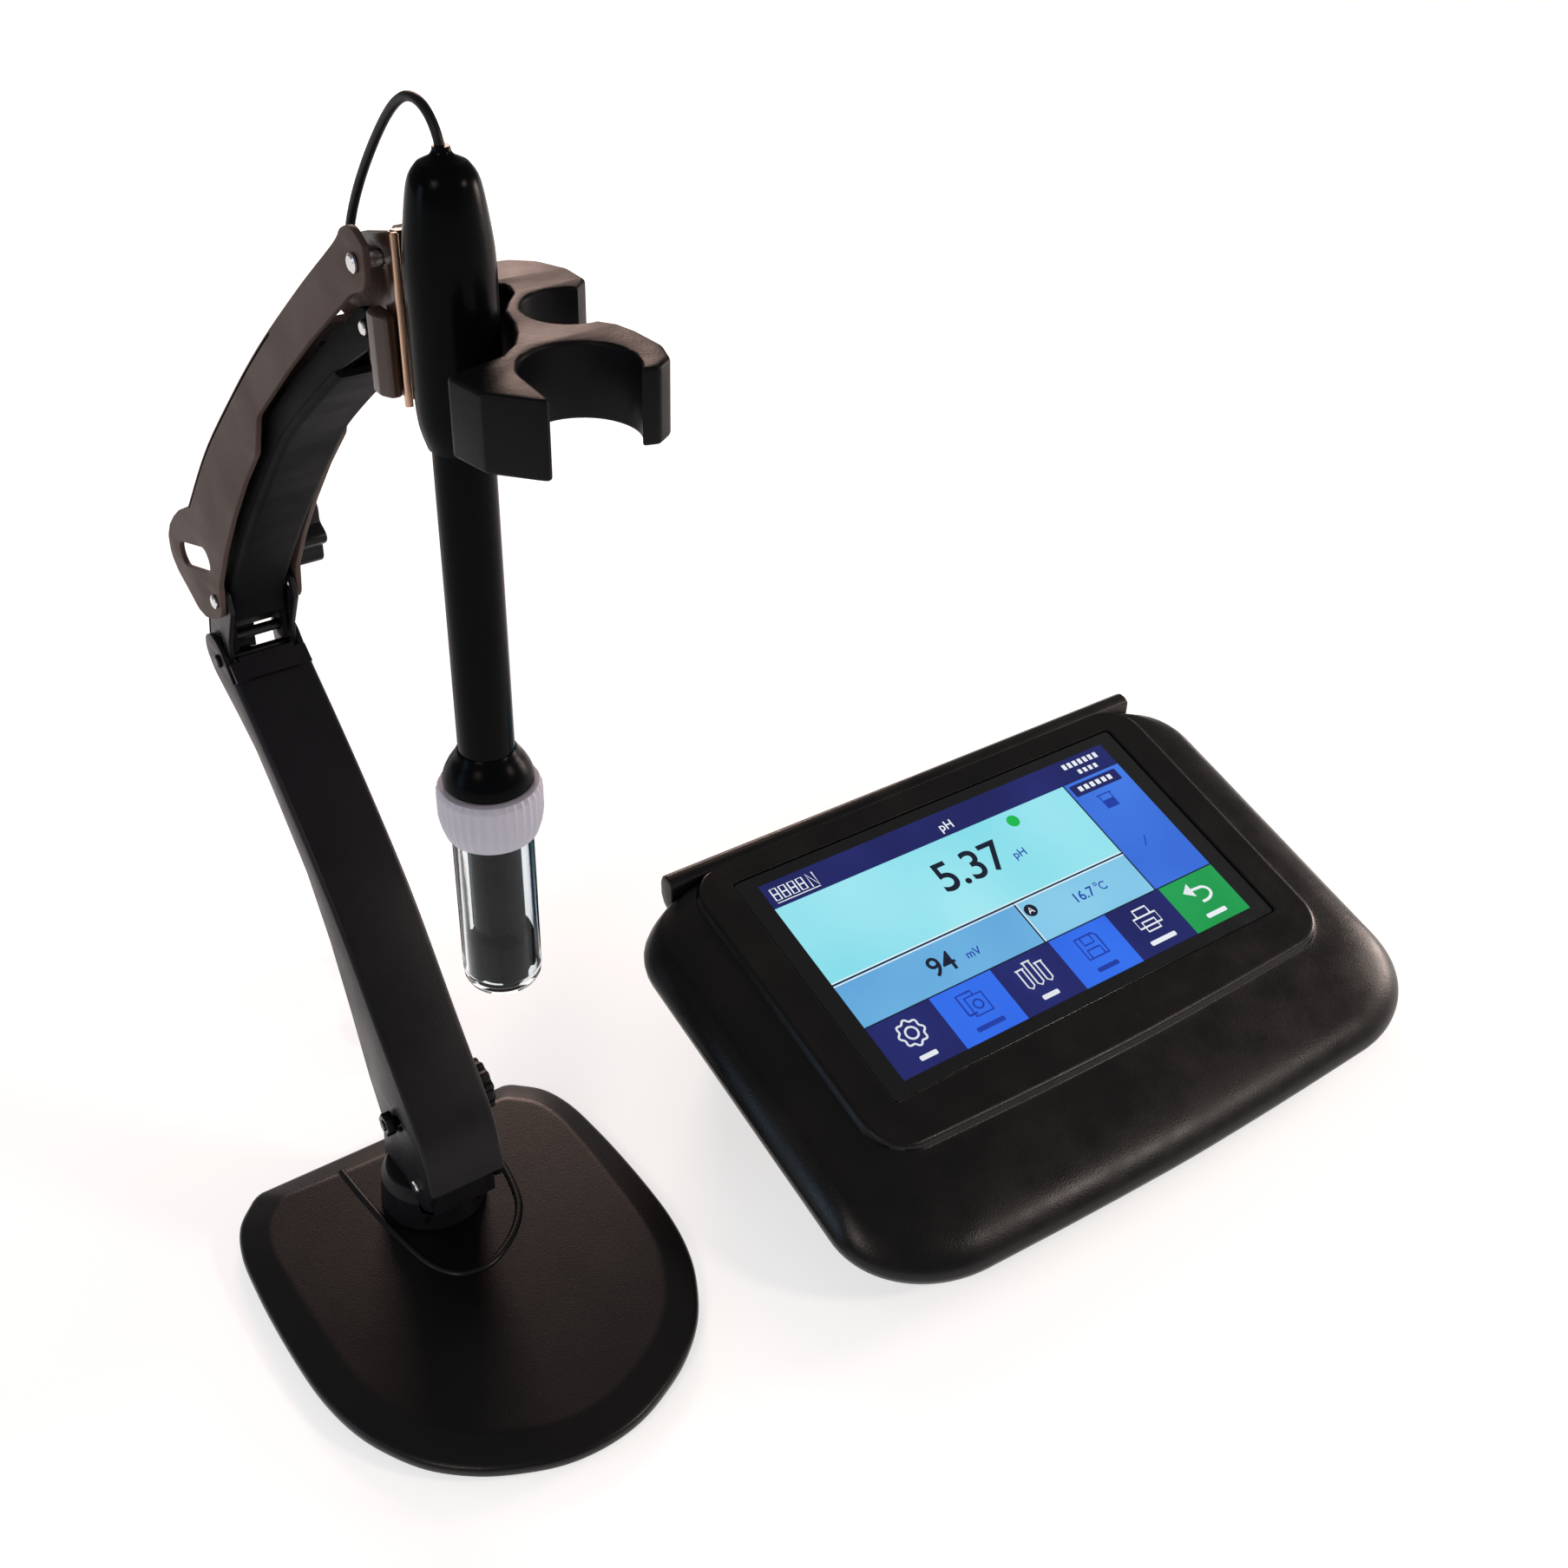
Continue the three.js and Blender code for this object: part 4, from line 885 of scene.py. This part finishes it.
def stand_base():
    outline = base_outline()

    def level(inset, z):
        return [on_stand(x, y, z) for x, y in inset_loop(outline, inset)]

    steps = [(1.4, 2), (0.5, 2.3), (0.1, 2.9), (0, 3.6), (0, 4.5), (0.12, 5), (0.45, 5.5), (1, 5.9),
        (1.8, 6.2), (8.6, 8.3), (9.2, 8.46), (9.8, 8.56), (10.6, 8.6)]
    top = level(11.4, 8.6)
    under = level(2.4, 2)
    shell = rings([under, *[level(*row) for row in steps], top], True, False)
    hole = [on_stand(*p, 8.6) for p in circle(14.5, 64, (0, PIVOT_Y))]
    bead_path = spline_points([(x, y, 8.1) for x, y in BEAD], 6)
    bead = tube([on_stand(*p) for p in bead_path], 1.3, 16)
    piece("base_cover", [shell, ring_fill(top, hole),
        rings([hole, [on_stand(*p, 6) for p in circle(14.5, 64, (0, PIVOT_Y))]], False, True),
        bead], BASE_PAINT, "root", "base_plate", sharp=38)
    cad("base_pad", RUBBER)
    sleeve = arc_fillet([(3, 5.4), (5, 5.4), (5, 24.3), (6.6, 24.3), (6.6, 27), (3, 27)], 0.4, 3)
    piece("swivel_sleeve", [turned(sleeve, upright(STAND_X, PIVOT_Y), 48)], STEEL, "root", "pivot_sleeve")
    cad("lead_base_run", JACKET)


def stand_turret():
    hub = arc_fillet([(5.4, 9), (15.6, 9), (16, 10.2), (15.2, 20), (13.4, 24), (5.4, 24)], 1, 4)
    toe = arc_fillet([(43.2, 25.4), (43.2, 33.4), (44.6, 34.2), (44.6, 26.2), (51, 21.2), (57, 21.2),
        (57, 18), (52, 18)], 0.5, 4)
    cheek = arc_fillet([(53, 12), (50.5, 19), (43.2, 25.4), (43, 37), (47, 41), (56, 56.5), (62, 58.5),
        (68, 57), (75, 44), (78, 12)], 2.4, 5)
    holes = [*pin_holes(A1, A2), circle(1.9, 24, BASE_BOLT)]
    parts = [turned(hub, upright(STAND_X, PIVOT_Y), 72), prism(toe, -9.9, 9.9, 0.4, sideways)]
    parts += [prism(cheek, low, low + 2.9, 0.35, sideways, holes) for low in (-9.9, 7)]
    piece("turret_block", parts, PAINT, "turret", "turret", sharp=34)


def rod(name, node, body, radius, low, high, centre, material=STEEL):
    """A turned pin; one that starts outside the arm's left side has a flanged head there."""
    if radius == PIN and low < -ARM_HALF:
        profile = [(AXIS, low), (1.5, low), (2, low + 0.35), (2, -ARM_HALF - 0.3), (radius, -ARM_HALF - 0.3)]
    else:
        profile = [(AXIS, low), (radius - 0.3, low), (radius, low + 0.3)]
    profile += [(radius, high - 0.3), (radius - 0.3, high), (AXIS, high)]
    piece(name, [turned(profile, across(*centre), 32)], material, body, node, sharp=30)


def pins():
    left, right = -ARM_HALF - 1.1, ARM_HALF + 0.6
    rod("pin_base", "base_pin", "turret", PIN, left, right, A1)
    rod("pin_link_base", "lower_link_base_pin", "turret", PIN, -PLATE_HALF, PLATE_HALF, A2)
    rod("pin_arm_top", "lower_arm_top_pin", "elbow", PIN, left, right, B1, BLACKENED)
    rod("pin_link_top", "lower_link_top_pin", "elbow", PIN, -PLATE_HALF, PLATE_HALF, B2, BLACKENED)
    rod("pin_elbow_left", "elbow_outer_pin_left", "elbow", PIN, left, -8.7, Q_OUTER)
    rod("pin_elbow_right", "elbow_outer_pin_right", "elbow", PIN, 8.7, right, Q_OUTER)
    rod("pin_elbow_inner", "elbow_inner_pin", "elbow", PIN, -PLATE_HALF, PLATE_HALF, Q_INNER, BLACKENED)
    rod("pin_head_upper", "head_upper_pin", "head", PIN, left, right, P_OUTER)
    rod("pin_head_lower", "head_lower_pin", "head", PIN, -9.4, 9.4, P_INNER)
    rod("bolt_base", "base_bolt", "turret", 1.6, -15.6, 15.8, BASE_BOLT, BLACKENED)
    rod("bolt_elbow", "elbow_bolt", "elbow", 1.6, 8.8, 19.8, ELBOW_BOLT)
    hexagon = circle(3.6, 6, BASE_BOLT)
    piece("nut_base", [prism(hexagon, -15.1, -12.2, 0.25, sideways, [circle(1.65, 24, BASE_BOLT)])],
        BLACKENED, "turret", "base_bolt_nut")


def knob(name, node, body, centre, count, radius, depth, low, high, hub):
    lobes = []
    for a in angles(count * 16):
        reach = radius - depth / 2 * (1 - cos(count * a))
        lobes.append((centre[0] + reach * cos(a), centre[1] + reach * sin(a)))
    collar = turned(arc_fillet([(1.9, 12.4), (hub, 12.4), (hub + 0.4, low + 0.5), (1.9, low + 0.5)], 0.3, 3),
        across(*centre), 48)
    face = turned(arc_fillet([(AXIS, high - 0.4), (radius * 0.55, high - 0.4), (radius * 0.5, high + 0.3),
        (AXIS, high + 0.3)], 0.3, 3), across(*centre), 48)
    piece(name, [prism(lobes, low, high, 0.7, sideways), collar, face], KNOB, body, node, sharp=30)


stand_base()
stand_turret()
pins()
knob("knob_base", "base_knob", "base_knob", BASE_BOLT, 12, 8, 0.8, 13.2, 17.4, 4.6)
knob("knob_elbow", "elbow_knob", "elbow_knob", ELBOW_BOLT, 6, 10.6, 3, 13.4, 22.1, 5.4)


# ---- arms ----
LOWER_FRONT = [(38.5, 38), (43.7, 54), (53.5, 67.6), (63.7, 80.4), (81.4, 103.5), (94.5, 117.6),
    (111.5, 133.2), (125.4, 144.8), (141.5, 157.4)]
OUTER_TOP = [(19, 320.6), (23.9, 323), (29, 321.4), (33.8, 316.9), (56.1, 300.2), (85.2, 277), (111.9, 253.3),
    (134.9, 231.3), (156.4, 206.8)]


def arc_slot(pivot, radius, half, low, high):
    def end(a):
        return (pivot[0] + radius * cos(a), pivot[1] + radius * sin(a))

    a, b = radians(low), radians(high)
    return [*circle(radius + half, 18, pivot, a, b - a), *circle(half, 12, end(b), b, pi),
        *circle(radius - half, 14, pivot, b, a - b), *circle(half, 12, end(a), a + pi, pi)]


def offset_line(points, distance):
    turns = [heading(points, i) for i in range(len(points))]
    return [(p[0] + along.y * distance, p[1] - along.x * distance) for p, along in zip(points, turns)]


def channel(name, node, body, line, rest, half, holes, material, more=()):
    """Two side plates and the bent face that joins them; rest closes the plates behind the face."""
    bend = 1.7
    outline = [*offset_line(line, bend), *rest]
    plates = [prism(outline, low, low + SHEET, 0.22, sideways, holes) for low in (-half, half - SHEET)]
    face = bent_strip(line, half, bend + 0.35, SHEET, bend)
    piece(name, [*plates, face, *more], material, body, node, sharp=36)


def lower_arm():
    front = spline_points(LOWER_FRONT, 6)
    rest = arc_fillet([front[-1], (151, 165), (156.4, 166.4), (161.4, 163.4), (161.8, 158.4), (157.4, 153.4),
        (142.6, 146), (131.8, 140), (123, 132.2), (104, 113.6), (93, 96), (84, 76), (76, 56), (70, 45),
        (60, 35), (54, 29.5), (49, 27.6), (43.5, 29.5), front[0]], 9, 5, False)[1:-1]
    to_bolt = Vector(BASE_BOLT) - Vector(A1)
    angle = degrees(atan2(to_bolt.y, to_bolt.x))
    holes = [*pin_holes(A1, B1), arc_slot(A1, to_bolt.length, 2.2, angle - 16, angle + 12)]
    tongue = prism([(140.9, 156.9), (146.5, 161.3), (145.6, 162.5), (140, 158.1)], -8.2, 8.2, 0.3, sideways)
    root = prism([(140.9, 156.9), (145.4, 160.5), (144.6, 161.7), (140, 158.1)], -11.4, 11.4, 0.3, sideways)
    channel("lower_arm_shell", "lower_arm_channel", "lower_arm", front, rest, ARM_HALF, holes, PAINT,
        [tongue, root])
    line = spline_points([A2, (53.8, 47), (57.2, 59), (65, 73), (75, 88.3), (85, 100.6), (97.9, 114),
        (114.8, 129.8), (128.6, 141), (142.5, 149.4), B2], 5)
    bar = [*offset_line(line, -1), *reversed(offset_line(line, 1))]
    eyes = [prism(circle(3, 32, c), -6.4, -0.4, 0.3, sideways, [circle(1.85, 20, c)]) for c in (A2, B2)]
    piece("lower_link_bar", [prism(bar, -6.3, -0.5, 0.3, sideways), *eyes], PAINT, "lower_link", "lower_link")
    cad("lead_lower_run", JACKET)


def upper_arm():
    top = spline_points(OUTER_TOP, 6)
    ear = arc_fillet([top[-1], (166, 201.4), (171.6, 197.2), (176.5, 192.6), (179.9, 187.5), (180.2, 181.6),
        (176, 177.6), (169.2, 174.6), (162.7, 171.4), (157, 171.4), (149, 174.6), (142.5, 178.6),
        (140.6, 189.4), (132, 203), (120.8, 218.1), (108.4, 233.1), (96, 246.4), (91.4, 258), (67.8, 277.9),
        (51.3, 291), (27.5, 308.5), (19, 312), top[0]], 6, 6, False)[1:-1]
    holes = pin_holes(P_OUTER, Q_OUTER)
    slots = ([*circle(3.6, 16, (149.6, 193.2), 1.24, pi), *circle(3.6, 16, (167, 187.2), 4.38, pi)],
        arc_slot(Q_OUTER, 14.1, 3.7, 8, 74))
    web = [p for p in top if p[0] >= 70.5]
    outline = [*top, *ear]
    plates = [prism(outline, low, low + SHEET, 0.22, sideways, [*holes, slot]) for low,
        slot in zip((-ARM_HALF, ARM_HALF - SHEET), slots)]
    bridge = prism([*web, *reversed(offset_line(web, SHEET))], -ARM_HALF, ARM_HALF, 0.5, sideways)
    piece("upper_arm_shell", [*plates, bridge], ARM_PAINT_PAINTED_SHEEN, "upper_arm", "upper_arm_channel", sharp=36)
    cad("lead_upper_run", JACKET)


def upper_inner():
    face = spline_points([(145.6, 174), (142.4, 184.6), (119.5, 214.5), (96.2, 241), (85.3, 252.6),
        (69.3, 266), (48, 282.4)], 6)
    rest = arc_fillet([face[-1], (31, 295), (26.3, 298.2), (26.6, 303), (31, 304.6), (38, 299.8),
        (54.6, 287.6), (75, 272.4), (92.6, 257.2), (102.6, 246), (126, 219.4), (149, 189), (155.4, 172),
        (156.2, 166), (154.4, 162.4), (151.4, 161.6), (148, 162.6), face[0]], 5, 5, False)[1:-1]
    channel("upper_inner_shell", "upper_inner_channel", "upper_link", face, rest, 8.3,
        pin_holes(P_INNER, Q_INNER), INNER_PAINT_PAINTED_SHADE)


def elbow():
    cheek = [(148.6, 156.4), (151, 152.4), (156, 151.4), (162, 153), (163.4, 160), (160, 172), (153, 185.4),
        (147, 187.2), (142, 185), (140.6, 179.4), (146.4, 168)]
    right = [*cheek[:6], (159.6, 186), (159, 195), (155, 197.6), (150.5, 194.6), (147, 187.2), *cheek[8:]]
    low_web = arc_fillet([(161.8, 154), (163.1, 158), (163.4, 160), (162.6, 163), (161, 163), (161.8, 159.6)],
        0.3, 3)
    web = arc_fillet([(162.6, 163), (160, 172), (157.6, 181), (156.3, 180.6), (158.4, 171.4), (161, 163)],
        0.3, 3)
    holes = pin_holes(B1, B2, Q_INNER, Q_OUTER)
    bolt_hole = circle(1.9, 24, ELBOW_BOLT)
    parts = [prism(arc_fillet(cheek, 2.6, 5), -PLATE_HALF, -8.7, 0.2, sideways, holes),
        prism(arc_fillet(right, 2.6, 5), 8.7, PLATE_HALF, 0.2, sideways, [*holes, bolt_hole]),
        prism(web, -PLATE_HALF, PLATE_HALF, 0.25, sideways), prism(low_web, -PLATE_HALF, 2.9, 0.25, sideways)]
    piece("elbow_plates", parts, PAINT, "elbow", "elbow_bracket", sharp=34)


def head():
    cheek = [(17.6, 289), (17.6, 323.1), (30, 319.6), (42, 315.2), (48, 309.4), (53, 304.8), (53, 299.4),
        (42, 297), (34.5, 293.5), (33, 289)]
    cheeks = [prism(arc_fillet(cheek, 1.6, 4), low, low + 1.4, 0.2, sideways, pin_holes(P_OUTER, P_INNER))
        for low in (-6.4, 5)]
    front = [(16.2, 289 + 34.5 * k / 12) for k in range(13)]
    face = bent_strip(list(reversed(front)), 6.4, 1.7, 1.4, 1.5, -1)
    shelf = prism([(45, 299.9), (53, 301.6), (53, 303.2), (45, 301.5)], -6.4, 6.4, 0.15, sideways)
    piece("head_plates", [*cheeks, face, shelf], HEAD_PAINT_PAINTED_SHEEN, "head", "head_bracket", sharp=34)
    # a thin copper-coloured strip along the bracket's bend: painted highlight standing for warm light caught
    # on the bend
    highlight_strip = arc_fillet([(-7.3, 15.7), (-5.8, 15.3), (-5.6, 16.5), (-7.3, 16.5)], 0.3, 3)
    piece("head_bend_highlight", [prism(highlight_strip, 287.8, 323.4, 0.25, on_stand)], EDGE_HIGHLIGHT_METAL, "head", sharp=34)


# the brown base colour is painted reflection: the arm's paint is black, and the brown stands for warm light
# reflected on its flanges
ARM_PAINT_PAINTED_SHEEN = moulded("arm_paint_painted_sheen", (0.066, 0.044, 0.038), 0.5, 1900, 0.3, (0.088, 0.062, 0.054), shine=0.06)
# a darker, duller copy of the black stand paint: painted shade on the inner link, which lies in shadow inside
# the arm
INNER_PAINT_PAINTED_SHADE = moulded("inner_arm_painted_shade", (0.005, 0.005, 0.006), 0.6, 1900, 0.3, (0.008, 0.008, 0.009),
    shine=0.03)
# the warm brown base colour is painted reflection: warm light caught on the black head bracket and holder
# wing
HEAD_PAINT_PAINTED_SHEEN = moulded("bracket_paint_painted_sheen", (0.03, 0.015, 0.01), 0.28, 1900, 0.25, (0.05, 0.024, 0.015), shine=0.4)
lower_arm()
upper_arm()
upper_inner()
elbow()
head()


# ---- electrode and holder ----
def holder():
    slot_1 = circle(9.6, 28, (23, 1.6), radians(50), radians(224))
    slot_2 = circle(11.5, 32, (9.5, -25.5), radians(-38), radians(218))
    block = [(6.8, 18.8, 0.5), (7.4, 20.4, 0.8), (12.6, 21.4, 2), (13.4, 29, 4), (18, 31.6, 4), (25, 31, 4),
        (30, 27, 4), (33.2, 20, 3), (33.2, 12.6, 1.6), *slot_1, (26.2, -11.4, 2), (27.4, -16.4, 2),
        (28, -25, 3), (26, -31, 3), (22, -33.6, 1.6), *slot_2, (-2.7, -38, 1.6), (-12.1, -27.4, 1.6),
        (-13.9, -17.2, 1.6), (-6.4, -15.2, 2), (-0.6, -13.8, 2), (3.8, -10.4, 2), (6.8, -6, 3),
        (9.2, -0.6, 3), (10.6, 5.6, 3), (13.4, 9.6, 3), (17, 13.6, 3), (17.6, 18, 2), (14.4, 20.4, 1.2),
        (10, 19.4, 1)]
    outline = arc_fillet(list(reversed(block)), 0, 5)
    wing = arc_fillet([(-6.8, 17.2), (-9.4, 17.4), (-10.8, 20), (-10.8, 23.2), (-9, 24.6), (-6.8, 24.4)], 1.2,
        5)
    piece("holder_block", [prism(outline, 292, 308, 0.9, on_stand)], HOLDER, "head", "electrode_holder",
        sharp=30)
    piece("holder_lobe", [prism(wing, 289.4, 306.6, 0.7, on_stand)], HEAD_PAINT_PAINTED_SHEEN, "head", "holder_wing",
        sharp=30)


def electrode():
    axis = upright(STAND_X, 6.2)
    cap = spline_points([(7.2, 282), (8.5, 287), (8.9, 294), (8.9, 307), (8.9, 320), (8.1, 328), (6.9, 335),
        (5.2, 338), (3.8, 338.9), (2.5, 339.6), (1.9, 340.4), (1.7, 341.4)], 5)
    cap = [(AXIS, 282), *cap, (AXIS, 341.4)]
    piece("probe_cap", [turned(cap, axis, 72)], PROBE, "head", "electrode_cap", sharp=40)
    shaft = arc_fillet([(4.6, 158), (6.4, 158), (6.4, 283), (AXIS, 283), (AXIS, 164), (4.6, 164)], 0.5, 3)
    piece("probe_shaft", [turned(shaft, axis, 64)], PROBE, "head", "electrode_shaft", sharp=35)
    bulb = spline_points([(0.05, 156.4), (1.4, 156.6), (3, 157.9), (4.1, 160.4), (4, 162.2), (3.2, 163.6)], 6)
    piece("probe_bulb", [turned([*bulb, (AXIS, 163.6)], axis, 40)], GLASS, "head", "glass_bulb", sharp=60)
    seal = [(6.55, 199.3), *spline_points([(10, 199.3), (10.4, 199.8), (10.4, 200.8), (9.9, 202.6),
        (8.8, 204.8), (7.6, 206.6), (6.9, 207.9), (6.55, 208.4)], 4)]
    piece("seal_cone", [turned([*seal, seal[0]], axis, 64)], PROBE, "bottle", "bottle_seal", sharp=50)
    ring = arc_fillet([(9.9, 185.6), (10.7, 185.6), (11.8, 189, 3), (12.15, 191.4, 2), (12.15, 197.4),
        (11.5, 199), (6.9, 199), (6.9, 196.6), (9.9, 196.6)], 0.4, 3)
    profile = [*ring, ring[0]]

    def ribs(a, row):
        return 1 - (0.035 * abs(sin(18 * a)) if profile[row][0] > 11.4 else 0)

    piece("cap_ring", [turned(profile, axis, 288, ribs)], FROSTED, "bottle_ring", "bottle_ring", sharp=28)
    bottle = arc_fillet([(AXIS, 141.4), (8.4, 141.4, 1.2), (9.3, 143.2, 1), (9.5, 145.4, 1.5),
        (9.5, 196.2, 0.3), (8.45, 196.2, 0.3), (8.45, 145, 1.2), (7.6, 143, 1), (AXIS, 143)], 1, 5, False)
    piece("vial", [turned(bottle, axis, 72)], CLEAR, "bottle", "storage_bottle", sharp=40)
    guard = [(3.9, 143.6), (7.7, 143.6), (8.25, 144.8), (8.3, 145.2), (8.3, 154.6), (8, 155.2), (6.2, 155.3),
        (3.9, 155.3), (3.9, 143.6)]

    def notch(a, row):
        off = (degrees(a) - 40 + 45) % 90 - 45
        return 0.84 if abs(off) < 20 and 0 < row < 7 else 1

    piece("vial_insert", [turned(guard, axis, 120, notch)], PROBE, "bottle", sharp=30)


FROSTED = moulded("frosted_plastic", (0.5, 0.5, 0.6), 0.42, 700, 0.3, (0.62, 0.61, 0.7), shine=0.4)
FROSTED.node_tree.nodes["Principled BSDF"].inputs["Transmission Weight"].default_value = 0.3
holder()
electrode()
cad("lead_turret_run", JACKET)


# ---- floor, light ----
def studio():
    n = Nodes("floor_paper")
    n.set("Base Color", n.mix(n.noise(3), (0.8, 0.8, 0.8), (0.78, 0.78, 0.78)))
    n.set("Roughness", 0.9)
    n.set("Emission Color", (1, 1, 1))
    distance = n.add("ShaderNodeVectorMath", Vector=n.coords)
    distance.operation = "LENGTH"
    n.set("Emission Strength", n.remap(distance.outputs["Value"], 0.8, 2.4, 0.62, 0.92))
    mesh = bpy.data.meshes.new("floor")
    corners = [(x, y, -0.0004) for x, y in ((-9, -9), (9, -9), (9, 9), (-9, 9))]
    mesh.from_pydata(corners, [], [(0, 1, 2, 3)])
    mesh.materials.append(n.material)
    link("floor", mesh)

    world = bpy.data.worlds.new("studio")
    bpy.context.scene.world = world
    world.use_nodes = True
    tree = world.node_tree
    background = tree.nodes["Background"]
    background.inputs["Color"].default_value = (1, 1, 1, 1)
    seen = tree.nodes.new("ShaderNodeLightPath").outputs["Is Camera Ray"]
    level = tree.nodes.new("ShaderNodeMapRange")
    tree.links.new(seen, level.inputs["Value"])
    level.inputs["To Min"].default_value = 0.2
    tree.links.new(level.outputs["Result"], background.inputs["Strength"])

    for name, place, aim, size, power, colour in (("back_warm", (0.5, 1.25, 0.72), (-0.1, 0, 0), (0.5, 0.35),
            8, (1, 0.7, 0.6)), ("right_warm", (1.3, -0.16, 0.32), (0.08, -0.03, 0.05), (0.35, 0.3), 8,
            (1, 0.82, 0.74)), ("left_cool", (-1.3, 0.2, 0.45), (-0.1, 0, 0.15), (0.3, 0.4), 1.2,
            (0.5, 0.72, 1)), ("left_warm", (-0.9, -0.5, 0.9), (-0.13, 0, 0.2), (0.3, 0.3), 2.4,
            (1, 0.84, 0.78)), ("front_edge", (0.95, -1.15, 0.95), (0.05, 0, 0.03), (0.25, 0.2), 6,
            (1, 0.86, 0.78))):
        data = bpy.data.lights.new(name, "AREA")
        data.shape = "RECTANGLE"
        data.size, data.size_y = size
        data.energy = power
        data.color = colour
        lamp = link(name, data)
        lamp.location = place
        lamp.rotation_euler = (Vector(aim) - Vector(place)).to_track_quat("-Z", "Y").to_euler()
        lamp.visible_camera = False
    bpy.context.scene.view_settings.view_transform = "Standard"


studio()
